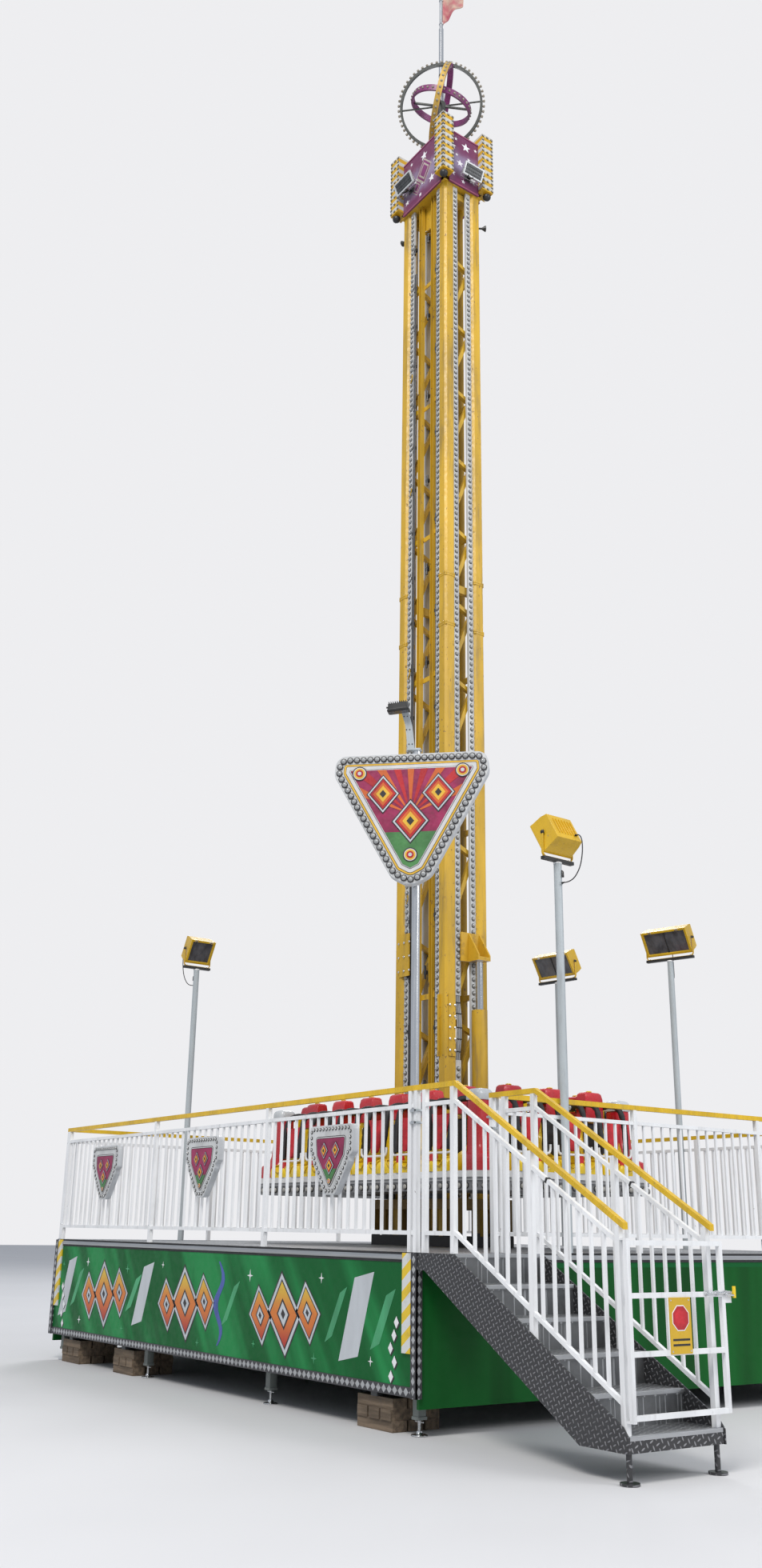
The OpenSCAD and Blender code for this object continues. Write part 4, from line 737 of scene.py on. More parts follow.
b = Build("corner_sign", "base", *SIGN)
b.prism(layer(0), -0.044, FACE + 0.004, 0, MAST)
b.prism(layer(0.06), FACE, FACE + 0.004, 1, MAST)
bulbs(b, [((x, FACE, z), FRONT) for x, z in along(layer(0.48), 0.057)], 0.0225, 2, 4, 8, MAST)
for k, (e, mi) in enumerate(((0.90, 4), (0.94, 8), (1.12, 4), (1.16, 3), (1.50, 4), (1.54, 1))):
    b.prism(layer(e), FACE - 0.0030 - 0.0013 * k, FACE - 0.0005 - 0.0013 * k, mi, MAST)
face = layer(1.62)
b.prism(face, FACE - 0.0110, FACE - 0.0085, 5, MAST)
b.prism(clip(face, lambda x, z: 4.47 - z), FACE - 0.0122, FACE - 0.0100, 6, MAST)
# Three nested lozenges under a bow of rays, with a badge in each corner
SX, SZ = -0.03, 4.62
for k in range(9):
    a0, a1 = radians(22 + k * 16), radians(30 + k * 16)
    q = clip(face, lambda x, z: (z - SZ) * cos(a0) - (x - SX) * sin(a0))
    q = clip(q, lambda x, z: (x - SX) * sin(a1) - (z - SZ) * cos(a1))
    if len(q) > 2:
        b.prism(q, FACE - 0.0132, FACE - 0.0112, 9 if k % 2 else 7, MAST)
for x, z, r in ((SX - 0.23, 4.80, 0.1705), (SX + 0.23, 4.80, 0.1705), (SX, 4.56, 0.1925)):
    nested(b, x, z, r, FACE - 0.0146, 0.0016,
           ((1.0, 4), (0.93, 10), (0.82, 4), (0.76, 9), (0.60, 7), (0.42, 8), (0.2, 4)), MAST, 4, 0.82)
for x, z, r in ((SX - 0.43, 4.985, 0.062), (SX + 0.43, 4.985, 0.062), (SX, 4.275, 0.06)):
    nested(b, x, z, r, FACE - 0.0156, 0.0018, BADGE, MAST)
for z in (4.35, 4.87):
    b.box((-0.10, -0.044, z), (0.10, -0.028, z + 0.05), 1, MAST)
    b.tube([(x, y, z + 0.025) for x, y in mm((-50, -50), (-50, 0), (-42, 34), (0, 46), (42, 34), (50, 0),
                                             (50, -50))], 0.006, 6, 1, MAST)
o = b.done(angle=30)
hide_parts("sign_board")

b = Build("fence_lamp_signs", "base", *SIGN)
SHIELD = rounded(mm((-315, 565), (315, 565), (315, 340), (265, 315), (265, 275), (75, 20), (-75, 20),
                    (-265, 275), (-265, 315), (-315, 340)),
                 [0.045, 0.045, 0.03, 0.02, 0.03, 0.06, 0.06, 0.03, 0.02, 0.03], 4)
FIELD = rounded(mm((-225, 478), (225, 478), (205, 325), (0, 60), (-205, 325)), [0.03] * 5, 4)
for x in (2.235, 0.030, -2.145):
    at = T(x, -2.830, 1.635)
    b.prism(SHIELD, 0, -0.058, 0, at)
    b.prism(inset(SHIELD, 0.004), -0.0555, -0.0590, 1, at)
    bulbs(b, [((px, -0.059, pz), FRONT) for px, pz in along(inset(SHIELD, 0.030), 0.046)], 0.0125, 2, 4, 6, at)
    for k, (e, mi) in enumerate(((0.0, 4), (0.006, 3), (0.013, 4), (0.018, 5))):
        b.prism(inset(FIELD, e), -0.0602 - 0.0011 * k, -0.0585 - 0.0011 * k, mi, at)
    b.prism(clip(inset(FIELD, 0.020), lambda x, z: 0.22 - z), -0.0648, -0.0634, 6, at)
    for dx, dz, r in ((-0.085, 0.365, 0.0682), (0.085, 0.365, 0.0682), (0.0, 0.245, 0.077)):
        nested(b, dx, dz, r, -0.0672, 0.0013, ((1.0, 4), (0.9, 10), (0.78, 4), (0.7, 9), (0.5, 8), (0.24, 4)),
               at, 4, 0.85)
    nested(b, 0.0, 0.125, 0.024, -0.0673, 0.0018, BADGE, at)
o = b.done(angle=30)
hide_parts("fence_signs")

# Gondola: corner columns with flared feet, domes, platform bands and their lamps
COLUMN = mm((0, 200, 130, 100, 85, 30), (100, 198, 128, 100, 84, 30), (135, 188, 122, 90, 78, 28),
            (152, 160, 115, 80, 55, 20), (180, 128, 105, 70, 25, 10), (240, 112, 100, 60, 10, 3),
            (360, 102, 96, 50, 2, 0), (500, 94, 92, 45, 0, 0), (620, 92, 90, 40, 0, 0), (643, 90, 88, 40, 0, 0))
DOME = mm((643, 99, 40), (650, 101, 40), (700, 101, 42), (722, 97, 45), (738, 86, 45), (746, 68, 40),
          (750, 45, 30), (751, 10, 9))
b = Build("column_shells", "gondola", "shell_red", "lamp_dome_grey")
for sx, sy in CORNERS:
    x, y = sx * 1.745, sy * 0.905
    b.rings([rbox(x + sx * ox, y + sy * oy, hx, hy, r, SEAT_Z + z) for z, hx, hy, r, ox, oy in COLUMN])
    b.rings([rbox(x, y, h, h, r, SEAT_Z + z) for z, h, r in DOME], 1)
o = b.done(angle=60)
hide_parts("corner_columns", "column_domes")

# Platform lamps, on a band that lies inside the platform's edge
INSIDE = 0.026
b = Build("platform_lamps", "gondola", "lamp_dull", "lamp_cap_black")
ring = along([p[:2] for p in rbox(0, 0, 2.15 - INSIDE, 1.15 - INSIDE, 0.40 - INSIDE, 0, 10)], 0.092)
for (x0, y0), (x, y), (x1, y1) in zip(ring[-1:] + ring[:-1], ring, ring[1:] + ring[:1]):
    d = Vector((y1 - y0, x0 - x1, 0)).normalized()
    a = face_to((x, y, 1.787), d if d.x * x + d.y * y > 0 else -d)
    b.lathe([(0.030, -0.004), (0.030, 0.006), (0.024, 0.008)], 10, 1, a)
    b.lathe([(0.024, 0.006), (0.024, 0.014), (0.017, 0.020), (0.007, 0.0225)], 10, 0, a)
o = b.done(angle=50)

m = Mat("platform_bands")
z = m.xyz()[2]
c = m.mix(m.ramp(z, 1.8595, 1.8605), (0.34, 0.345, 0.35), (0.70, 0.70, 0.69))
c = m.mix(m.ramp(z, 1.829, 1.8305), (0.19, 0.19, 0.195), c)
c = m.stain(c, (0.10, 0.09, 0.08), 3, 5, 0.45, 0.8, 0.5, (1, 1, 0.3))
c = m.mix(m.ramp(z, 1.9165, 1.9168), c, (0.30, 0.30, 0.31))
dress("gondola_platform", m.finish(c, m.ramp(m.noise(12), 0.3, 0.7, 0.32, 0.5), 90))

# Floodlight heads on their yokes: x, y, turn and width, as in the part's source
FLOODS = ((3.320, -1.300, 92, 0.34), (-3.265, -1.350, -90, 0.34), (-1.045, 2.745, 187, 0.59),
          (0.905, 2.745, 194, 0.59))
FLOOD_Z, HEAD_Z, HEAD_H = 4.45, 0.263, 0.155
b = Build("flood_cases", "base", "yellow_gloss", "lamp_cap_black", "flood_glass", "fence_white", "bright_steel")
for px, py, az, w in FLOODS:
    at, h = T(px, py, FLOOD_Z, az), w / 2
    b.lathe([(0.039, 0), (0.039, 0.012), (0.030, 0.018)], 14, 3, at)
    b.box((-h - 0.012, -0.024, 0.016), (h + 0.012, 0.024, 0.046), 1, at)
    b.box((-h - 0.006, -0.012, 0.046), (h + 0.006, 0.012, 0.052), 0, at)
    head = at @ T(0, 0, HEAD_Z, 0, -30)
    for s in (-1, 1):
        b.tube([(s * (h - 0.01), 0, 0.054), (s * (h + 0.004), 0, 0.062), (s * (h + 0.010), 0, 0.08),
                (s * (h + 0.010), 0, 0.285)], 0.018, 4, 0, at, flat=0.3, up=(s, 0, 0))
        b.lathe([(0.022, 0), (0.022, 0.008), (0.011, 0.012), (0.011, 0.020)], 10, 1,
                at @ T(s * (h + 0.004), 0, HEAD_Z, ry=90 * s))
        b.tube([(s * (h - 0.03), 0, 0.03), (s * (h - 0.03), 0, 0.06)], 0.008, 6, 4, at)
        b.box((s * h * 0.6 - 0.02, 0.094, 0.132), (s * h * 0.6 + 0.02, 0.103, 0.150), 4, head)
    b.rings([pane(h - dx, HEAD_H - dz, y, drop) for dx, dz, y, drop in mm(
        (35, 30, -108, 20), (22, 14, -104, 10), (12, 6, -40, 0), (2, 2, 70, 0), (0, 0, 74, 0), (0, 0, 98, 0),
        (26, 26, 98, 0), (30, 30, 82, 0))], 0, head)
    b.box((-h + 0.029, 0.078, -0.126), (h - 0.029, 0.083, 0.126), 2, head)
    if w > 0.5:
        b.box((-0.006, 0.083, -0.126), (0.006, 0.09, 0.126), 1, head)
    for k in range(7):
        x = -h * 0.62 + k * h * 0.62 / 3
        b.box((x - 0.003, -0.122, -0.09), (x + 0.003, -0.10, 0.08), 0, head)
    # Glands at the back and at the mast, and the mast's cable entry
    b.tube([(0.09, -0.10, 0.25), (0.09, -0.138, 0.25)], 0.012, 8, 1, at)
    b.tube([(0.09, -0.130, 0.25), (0.09, -0.150, 0.25), (0.09, -0.168, 0.2475)], [0.011, 0.0085, 0.0062], 8, 1, at)
    b.tube([(0, -0.046, -0.178), (0, -0.066, -0.178), (0.001, -0.078, -0.178)], [0.0105, 0.008, 0.0062], 8, 1, at)
    b.tube([(0.012, -0.034, -0.06), (0.014, -0.046, -0.075), (0.014, -0.046, -0.125)], [0.005, 0.010, 0.012],
           6, 1, at)
o = b.done(bevel=0.003)
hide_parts("flood_heads")


# Cords: floodlight leads and the supply hoses past the tower's hinge
def route(name, pts, dia, mat, node):
    P = smooth_line(pts, 4 * len(pts))
    cu = bpy.data.curves.new(name, "CURVE")
    cu.dimensions, cu.bevel_depth, cu.bevel_resolution, cu.use_fill_caps = "3D", dia / 2, 3, True
    sp = cu.splines.new("POLY")
    sp.points.add(len(P) - 1)
    for q, c in zip(sp.points, P):
        q.co = (*c, 1)
    cu.materials.append(mats[mat])
    o = bpy.data.objects.new(name, cu)
    scene.collection.objects.link(o)
    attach(o, "base")
    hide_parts(node)


LEAD = mm((90, -140, 250), (90, -158, 250), (90, -180, 244), (89, -198, 229), (88, -211, 206), (87, -219, 177),
          (85, -223, 142), (83, -224, 102), (80, -222, 60), (76, -217, 17), (71, -209, -26), (64, -197, -67),
          (55, -181, -104), (45, -161, -136), (33, -136, -160), (20, -109, -173), (8, -84, -178),
          (0, -65, -178), (0, -47, -178))
for i, (px, py, az, _) in enumerate(FLOODS):
    at = T(px, py, FLOOD_Z, az)
    route(f"lamp_lead_{i}", [at @ Vector(p) for p in LEAD], 0.010, "black_rubber", "lamp_leads")

# Hoses: sideways offsets in metres, and eighths of the way down
HOSE_X, HOSE_Y, HOSE_TOP, HOSE_STEP = 0.427, -0.109, 3.8, (3.8 - 3.11) / 8
HOSE = ((0, 0, 0), (0, 0, 0.6), (0.004, 0, 1), (0.013, 0.001, 1.6), (0.021, 0.001, 2.3), (0.027, 0.002, 3.1),
        (0.029, 0.002, 4), (0.027, 0.002, 4.9), (0.021, 0.001, 5.7), (0.013, 0.001, 6.4), (0.004, 0, 7),
        (0, 0, 7.4), (0, 0, 8))
b = Build("hose_ties", "base", "lamp_cap_black")
for z, x in ((3.72, 0.004), (3.60, 0.022), (3.45, 0.0295), (3.33, 0.022), (3.20, 0.004)):
    x += HOSE_X
    b.rings([rect(x - 0.0135, x + 0.0135, HOSE_Y - 0.0375, HOSE_Y + 0.0375, z + e) for e in (-0.006, 0.006)])
ties = b.done(bevel=0.003)
for i in range(3):
    route(f"supply_hose_{i}", [(HOSE_X + x, HOSE_Y + (i - 1) * 0.024 + y, HOSE_TOP - k * HOSE_STEP)
                               for x, y, k in HOSE],
          0.022, "hose_cover", "supply_hoses")


# Front sheet: cloudy green ground, and a generic pattern of lozenges, slanted bars and a blue ribbon
def green(name, dark, light, run, scale, grain, depth):
    """Sheet with cloudy streaks; run says how they slope in x, y and z."""
    m = Mat(name)
    s = m.xyz()
    p = m.n("ShaderNodeCombineXYZ")
    for sock, v in zip(p.inputs, (m.op("+", m.op("*", s[0], run[0]), m.op("*", s[2], run[2])),
                                  m.op("*", s[1], run[1]), m.op("*", s[2], 0.12))):
        m.put(sock, v)
    c = m.mix(m.ramp(m.noise(scale, vector=p.outputs[0]), 0.42, 0.62), dark, light)
    c = m.stain(c, scale3(dark, 0.5), 5, 5, 0.55, 0.8, 0.3, (1, 1, 0.2))
    m.b.inputs["Specular IOR Level"].default_value = 0.15
    return m.finish(c, m.ramp(m.noise(14), 0.3, 0.7, 0.32, 0.5), grain, depth, 0.5)


fascia = green("fascia_green", (0.003, 0.10, 0.022), (0.016, 0.235, 0.065), (0.8, 0, 0.55), 2.2, 60, 0.001)
dress("front_fascia", fascia)
dress("side_skirts", green("skirt_green_dark", (0.002, 0.055, 0.008), (0.004, 0.105, 0.016), (1, 1, 0), 1.6,
                           0.9, 0.02))

# Red at the foot of each big lozenge, through orange, to yellow at its head
m = Mat("fade_wide")
z = m.xyz()[2]
c = m.mix(m.ramp(z, 0.45, 0.715), (0.40, 0.015, 0.015), (0.62, 0.17, 0.02))
c = m.mix(m.ramp(z, 0.715, 0.98), c, (0.66, 0.46, 0.04))
fade = m.finish(m.stain(c, (0.3, 0.1, 0.03), 12, most=0.3), 0.4, 90, 0.0008, 0.2)
b = Build("fascia_pattern", "base", "sign_dark_line", "art_silver", fade, "art_blue", "art_mint", "star_white")
SHEET_Y = -2.84


def flat(pts, k, mi):
    """Thin raised layer k of the front pattern."""
    b.prism(pts, SHEET_Y - 0.0012 - 0.0007 * k, SHEET_Y + 0.0008, mi)


def lozenge(x, z, w, h, lean=0.0):
    return [(x - w, z), (x + lean, z - h), (x + w, z), (x - lean, z + h)]


for x, w, h in ((-2.98, 0.10, 0.62), (-2.72, 0.05, 0.40), (-1.33, 0.06, 0.36), (-1.12, 0.11, 0.60),
                (0.63, 0.05, 0.38), (2.30, 0.05, 0.42), (2.58, 0.13, 0.66), (2.93, 0.06, 0.44)):
    lo, hi = 0.76 - h / 2, 0.76 + h / 2
    flat([(x - w - 0.10, lo), (x + w - 0.10, lo + 0.05), (x + w + 0.10, hi), (x - w + 0.10, hi - 0.05)], 0,
         1 if w > 0.09 else 4)
for x0 in (-2.02, -0.22, 1.52):
    for dx, z, w, h in ((-0.37, 0.69, 0.20, 0.25), (0.37, 0.75, 0.20, 0.25), (0.0, 0.72, 0.28, 0.34)):
        for k, (q, mi) in enumerate(((1.0, 0), (0.93, 1), (0.80, 0), (0.74, 2), (0.36, 0), (0.28, 1), (0.12, 0))):
            flat(lozenge(x0 + dx, z, w * q, h * q, 0.05 * q), k, mi)
ribbon = [(0.42 + 0.06 * sin(k * 0.7), 0.40 + 0.05 * k, 0.012 + 0.03 * sin(pi * k / 14)) for k in range(15)]
flat([(x - w, z) for x, z, w in ribbon] + [(x + w, z) for x, z, w in reversed(ribbon)], 1, 3)
for i, (x, z, r) in enumerate(mm((-3120, 980, 30), (-2480, 1020, 45), (-1500, 980, 50), (-720, 1040, 30),
                                 (50, 400, 35), (950, 1000, 50), (1050, 460, 30), (2080, 1020, 40),
                                 (2000, 420, 45), (2780, 460, 35), (-1550, 420, 30), (-2600, 440, 40))):
    flat(star(x, z, r, 0.22, 4), 1, 5 if i % 2 else 4)
for s in (-1, 1):
    for dx, z in ((0.0, 0.38), (0.042, 0.48), (-0.007, 0.57), (0.035, 0.66), (0.063, 0.75)):
        x = s * (3.04 + dx)
        flat(lozenge(x + 0.008, z - 0.008, 0.036, 0.048), 1, 0)
        flat(lozenge(x, z, 0.030, 0.042), 2, 5)
o = b.done(smooth=False)

# Slanted warning stripes, and the trim strip of pale lozenges that also wraps both front corners
m = Mat("hazard_stripes")
s = m.xyz()
q = m.op("FRACT", m.op("/", m.op("-", s[2], m.op("*", s[0], 0.75)), 0.15))
c = m.mix(m.ramp(q, 0.495, 0.505), (0.72, 0.50, 0.02), (0.62, 0.63, 0.62))
stripes = m.finish(m.stain(c, (0.12, 0.10, 0.07), 9, 5, most=0.45), 0.4, 80)
b = Build("warning_strips", "base", stripes)
TRIM_Y, DECK = -2.8405, 1.234
for s in (-1, 1):
    x0, x1 = sorted((s * 3.187, s * 3.292))
    b.box((x0, -2.8575, 0.55), (x1, TRIM_Y, DECK))
o = b.done(bevel=0.0015, smooth=False)
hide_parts("hazard_strips")


def lozenges(name, upright, centre, half):
    """Row of pale lozenges on black, along z and round the corner if upright, else along x."""
    m = Mat(name)
    s = m.xyz()
    run, across = (s[2], m.op("ABSOLUTE", s[0])) if upright else (s[0], s[2])
    a = m.op("ABSOLUTE", m.op("-", m.op("FRACT", m.op("/", run, 0.068)), 0.5))
    d = m.op("ABSOLUTE", m.op("-", across, centre))
    if upright:
        d = m.op("MINIMUM", d, m.op("ABSOLUTE", m.op("-", m.op("ABSOLUTE", s[1]), 2.828)))
    k = m.ramp(m.op("+", m.op("/", a, 0.44), m.op("/", d, half)), 1.06, 0.94)
    c = m.mix(k, (0.035, 0.035, 0.04), (0.46, 0.47, 0.48))
    c = m.stain(c, (0.05, 0.045, 0.04), 14, 4, 0.5, 0.75, 0.5)
    return m.out(c, 0.4, m.op("*", k, 0.6)).bump(k, 0.002, 0.8)


dress("fascia_trim", lozenges("trim_lozenges", False, 0.295, 0.029))
b = Build("corner_trims", "base", lozenges("corner_lozenges", True, 3.330, 0.022))
for s in (-1, 1):
    for xa, y, top in ((3.298, TRIM_Y, DECK), (3.3595, -2.800, 1.125)):
        lo, hi = sorted((s * xa, s * 3.3635))
        b.box((lo, -2.8585, 0.258), (hi, y, top))
o = b.done(bevel=0.001, smooth=False)

# Sign lamp on its tapered arm
b = Build("sign_lamp", "base", "mast_grey", "lamp_cap_black", "flood_glass")
b.lathe([(0.043, 5.21), (0.043, 5.222), (0.036, 5.228), (0.036, 5.232)], 20, 0, MAST)
b.box((-0.080, -0.034, 5.216), (0.036, 0.030, 5.232), 0, MAST)
b.rings([rect(*q) for q in mm((-76, -16, -28, 16, 5225), (-96, -40, -32, 12, 5440), (-140, -80, -40, 4, 5600))],
        0, MAST)
for z in (5.27, 5.40, 5.52):
    for x in (-0.014, 0.014):
        b.bolt((x - 0.046 - (z - 5.25) * 0.17, -0.029 - (z - 5.25) * 0.02, z), 0.006, 0.003, 1, MAST)
b.box((-0.150, -0.058, 5.600), (-0.074, 0.006, 5.650), 1, MAST)
head = MAST @ T(-0.150, -0.075, 5.591, 0, 6, -5)
b.rings([rbox(0, 0, *q) for q in mm((80, 52, 12, -44), (93, 62, 10, -40), (93, 62, 10, -26), (86, 56, 12, -20),
                                    (82, 52, 12, 26))], 1, head)
b.box((-0.078, -0.046, -0.0455), (0.078, 0.046, -0.0435), 2, head)
for k in range(9):
    x = -0.072 + k * 0.018
    b.box((x - 0.0025, -0.050, 0.024), (x + 0.0025, 0.050, 0.043), 1, head)
b.tube([(-0.086, -0.02, 0.0), (-0.100, -0.02, 0.004)], 0.008, 8, 1, head)
o = b.done(bevel=0.0015)
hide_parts("sign_floodlight")

# Crown floodlights
b = Build("crown_lamps_flood", "base", "dark_steel", "flood_face", "bright_steel", "lamp_dome_grey",
          "lamp_cap_black")
for at, w, h in ((T(-0.22, -0.475, 15.005, 0, 24), 0.185, 0.085), (T(0.632, 0.055, 14.855, 90, 24), 0.155, 0.085)):
    b.rings([pane(w * 0.9, h * 0.86, 0.035), pane(w, h, 0.012)], 0, at)
    b.rings([pane(w, h, 0.010), pane(w, h, -0.018), pane(w * 0.9, h * 0.8, -0.018),
             pane(w * 0.88, h * 0.78, -0.008)], 3, at)
    b.box((-w * 0.87, -0.0095, -h * 0.77), (w * 0.87, -0.0075, h * 0.77), 1, at)
    for i in range(9):
        for j in (-1, 0, 1):
            b.lathe([(0.012, 0), (0.012, 0.004), (0.008, 0.007)], 8, 1,
                    at @ face_to((-w * 0.76 + i * w * 0.19, -0.009, j * h * 0.5)))
        x = -w * 0.8 + i * w * 0.2
        b.box((x - 0.003, 0.030, -h * 0.8), (x + 0.003, 0.058, h * 0.8), 0, at)
    for s in (-1, 1):
        b.tube([(s * (w + 0.006), 0, 0), (s * (w + 0.006), 0.04, -h - 0.012), (s * (w - 0.02), 0.05, -h - 0.018)],
               0.012, 4, 2, at, flat=0.35)
    b.tube([(-w + 0.02, 0.05, -h - 0.018), (w - 0.02, 0.05, -h - 0.018)], 0.012, 4, 2, at, flat=0.35)
for p0, p1 in (((-0.22, -0.45, 14.91), (-0.22, -0.338, 14.97)), ((0.62, 0.055, 14.76), (0.498, 0.055, 14.85)),
               ((-0.30, -0.45, 14.915), (-0.22, -0.338, 14.97)), ((0.62, -0.02, 14.765), (0.498, 0.055, 14.85))):
    b.tube([p0, p1], 0.011, 8, 4)
for q in (T(-0.22, -0.340, 14.97), T(0.500, 0.055, 14.85, 90)):
    b.box((-0.05, -0.008, -0.05), (0.05, 0.001, 0.05), 0, q)
o = b.done(bevel=0.0015)
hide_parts("crown_floodlights")

# Flag: hung cloth, gathered towards its foot. Each level's wave is made as deep as gives it the width
# FW along the cloth, with ARC steps in the search and NF points in the result.
FW, FH, NF, NZ, RISE, ARC, FOOT = 0.345, 0.93, 40, 26, 0.34, 120, 17.965
vs = []
for t in [j / (NZ - 1) for j in range(NZ)]:
    ext = 0.285 + 0.015 * sin(3.0 * t + 0.5)
    lo, hi = 0.0, 0.15
    for _ in range(30):
        a = (lo + hi) / 2
        P = [(0.026 + ext * i / ARC, a * sin(pi * (2.6 * i / ARC + 0.5 * t)) * min(1, i / 30))
             for i in range(ARC + 1)]
        runs = [dist(p, q) for p, q in zip(P, P[1:])]
        lo, hi = (a, hi) if sum(runs) < FW else (lo, a)
    acc, i = 0.0, 0
    for e in [k / (NF - 1) for k in range(NF)]:
        while i < ARC - 1 and acc + runs[i] < sum(runs) * e:
            acc += runs[i]
            i += 1
        q = min(1, (sum(runs) * e - acc) / max(1e-9, runs[i]))
        x, y = Vector(P[i]).lerp(Vector(P[i + 1]), q)
        vs.append((x, y, FOOT + FH * t + RISE * e ** 0.8 * (1 - t)))
b = Build("flag_cloth", "base", "flag_cloth")
b.add(vs, grid(NZ, NF), 0, T(rz=45))
o = b.done(angle=180)
q = o.modifiers.new("cloth", "SOLIDIFY")
q.thickness, q.offset = 0.0012, 0
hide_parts("flag")
b = Build("flag_rings", "base", "bright_steel", "lamp_cap_black")
for z in (17.985, 18.43, 18.885):
    b.tube([(x, y, z) for x, y in circle(0.030, 16)], 0.004, 6, 0, closed=True)
b.lathe([(0.030, 17.0), (0.036, 17.004), (0.036, 17.03), (0.030, 17.034)], 16, 1)
b.tube([(0.034, 0, 17.015), (0.075, 0.02, 17.02)], 0.007, 6)
rings = b.done()

# Tower fittings: flanges, bolts, pipe clamps, hooks and the two small horns under the crown
POST_X, POST_Y = 0.395, 0.2215
NUT = [(0.014, 0), (0.014, 0.009), (0.007, 0.011)]
b = Build("tower_fittings", "base", "tower_yellow", "lamp_cap_black", "bright_steel", "dark_steel")
for z in (8.15, 8.80):
    for sx, sy in CORNERS:
        x, y = sx * POST_X, sy * POST_Y
        for e in (0.0, 0.026):
            b.rings([rbox(x, y, 0.079, 0.079, 0.028, z + q, 3) for q in (e, e + 0.022)])
        for px, py in circle(0.0795 * 0.96, 8, radians(22), x, y):
            b.lathe([(0.007, -0.020), (0.007, 0.030), (0.003, 0.032)], 6, 2, T(px, py, z + 0.024))
for i in range(20):
    z = 2.2 + 0.62 * i
    for x in (-0.235, 0.055 if i % 2 else 0.235):
        b.box((x - 0.022, -0.270, z), (x + 0.022, -0.236, z + 0.045), 1)
        b.tube([(x, -0.262, z - 0.05), (x, -0.262, z + 0.1)], 0.013, 8, 1)
for x, mi in ((-0.235, 1), (-0.212, 3), (0.235, 1)):
    b.tube([(x, -0.259, z) for z in (1.75, 5.0, 9.0, 13.6)], 0.0085, 8, mi)
HOOK = mm((-310, -262, 0), (-270, -285, 15), (-240, -290, 60), (-250, -283, 110), (-290, -268, 100))
for z0 in (4.9, 6.3, 7.7, 10.2, 11.9):
    b.tube(smooth_line([(x, y, z0 + z) for x, y, z in HOOK], 14), 0.007, 6)
for p, d in (((-0.470, -0.235, 14.33), (-1, -0.2, 0.1)), ((0.46, 0.297, 14.17), (0.5, 1, 0.1))):
    b.lathe([(0.012, -0.01), (0.014, 0.03), (0.040, 0.075), (0.042, 0.082)], 14, 1, face_to(p, d))
for z in (3.2, 3.32, 3.44, 3.56, 3.68):
    for e in (-0.035, 0.035):
        b.lathe(NUT + [(0.007, 0.018), (0.003, 0.019)], 6, 2, face_to((0.482, e - POST_Y, z), (1, 0, 0)))
for z in (4.14, 4.30, 4.46):
    for e in (-0.10, 0.0, 0.10):
        b.lathe(NUT + [(0.007, 0.017)], 6, 2, face_to((-0.272 + e, -0.3085, z)))
o = b.done(bevel=0.001)
m = Mat("ram_and_bracket")
k = m.ramp(m.xyz()[2], 4.168, 4.172)
c = m.mix(k, (0.62, 0.63, 0.64), (0.56, 0.33, 0.02))
c = m.mix(m.op("*", k, m.ramp(m.noise(9, 5), 0.5, 0.75, 0, 0.6)), c, (0.10, 0.06, 0.03))
m.out(c, m.op("+", 0.14, m.op("*", k, 0.3)), m.op("-", 1, k))
dress("cylinder_rod", m.bump(m.noise(60, 2), 0.001, 0.2))

# Stair nosings, rail joints, fence clamps and straps
TOP_STEP, STEP_RISE, GOING, RAIL = 1.24, 0.196, 0.33, 1.055
STAIR_Y = (-2.832, -2.018)
b = Build("rail_fittings", "base", "lamp_cap_black", "bright_steel", "edge_aluminium", "mast_grey", "step_front")
for i, x in enumerate((3.785, 4.12, 4.45, 4.78, 5.11, 5.42)):
    z = TOP_STEP - i * STEP_RISE
    b.prism([(x - 0.035, z), (x + 0.004, z), (x + 0.004, z - 0.024), (x + 0.0005, z - 0.024),
             (x + 0.0005, z + 0.0025), (x - 0.035, z + 0.0025)], *STAIR_Y, 2)
for y in (-2.818, -2.032):
    at = T(4.75, y, TOP_STEP + RAIL - (4.75 - 3.785) * STEP_RISE / GOING, ry=degrees(atan(STEP_RISE / GOING)))
    b.box((-0.009, -0.0175, -0.0175), (0.009, 0.0175, 0.0175), 0, at)
for x, y in ((3.300, -2.822), (3.262, -2.03)):
    for z in (2.16, 2.25):
        b.box((x - 0.045, y - 0.027, z), (x + 0.045, y + 0.027, z + 0.016), 3)
        b.box((x - 0.020, y - 0.033, z - 0.004), (x + 0.020, y - 0.025, z + 0.020), 1)
        b.tube([(x + 0.03, y - 0.026, z + 0.008), (x + 0.03, y - 0.038, z + 0.008)], 0.006, 6)
for x in (1.08, -1.12, -3.296):
    for z in (1.40, 2.28):
        for e in (-0.02, 0.02):
            b.bolt((x + e, -2.839, z), 0.006, 0.004)
# Chequered front of the lowest step
y0, y1 = STAIR_Y
b.prism([(y0, 0.170), (y1, 0.170), (y1, 0.238), (y0, 0.238)], 0, 0.004, 4, T(5.4245, rz=90))
o = b.done(bevel=0.001)

# Gate: octagon and two lines on its plate, rivets, and the latch with its handle
b = Build("gate_fittings", "gate", "sign_crimson", "star_white", "bright_steel", "lamp_cap_black", "vest_red",
          "shell_yellow")
at = T(5.466, -2.393, 0.0, 90)
for r, y0, y1, mi in ((0.080, -0.0012, 0.0004, 1), (0.074, -0.0020, 0.0004, 0), (0.056, -0.0026, -0.0016, 4)):
    b.prism(circle(r, 8, radians(22.5), 0, 0.905), y0, y1, mi, at)
for z in (0.745, 0.775):
    b.prism([(-0.075, z), (0.075, z), (0.075, z + 0.012), (-0.075, z + 0.012)], -0.0014, 0.0004, 3, at)
for x in (-0.08, 0.08):
    for z in (0.715, 1.008):
        b.lathe([(0.006, 0), (0.005, 0.002), (0.002, 0.003)], 8, 2, at @ face_to((x, 0, z)))
b.tube([(5.467, -2.16, 1.045), (5.467, -1.90, 1.045)], 0.009, 10, 2)
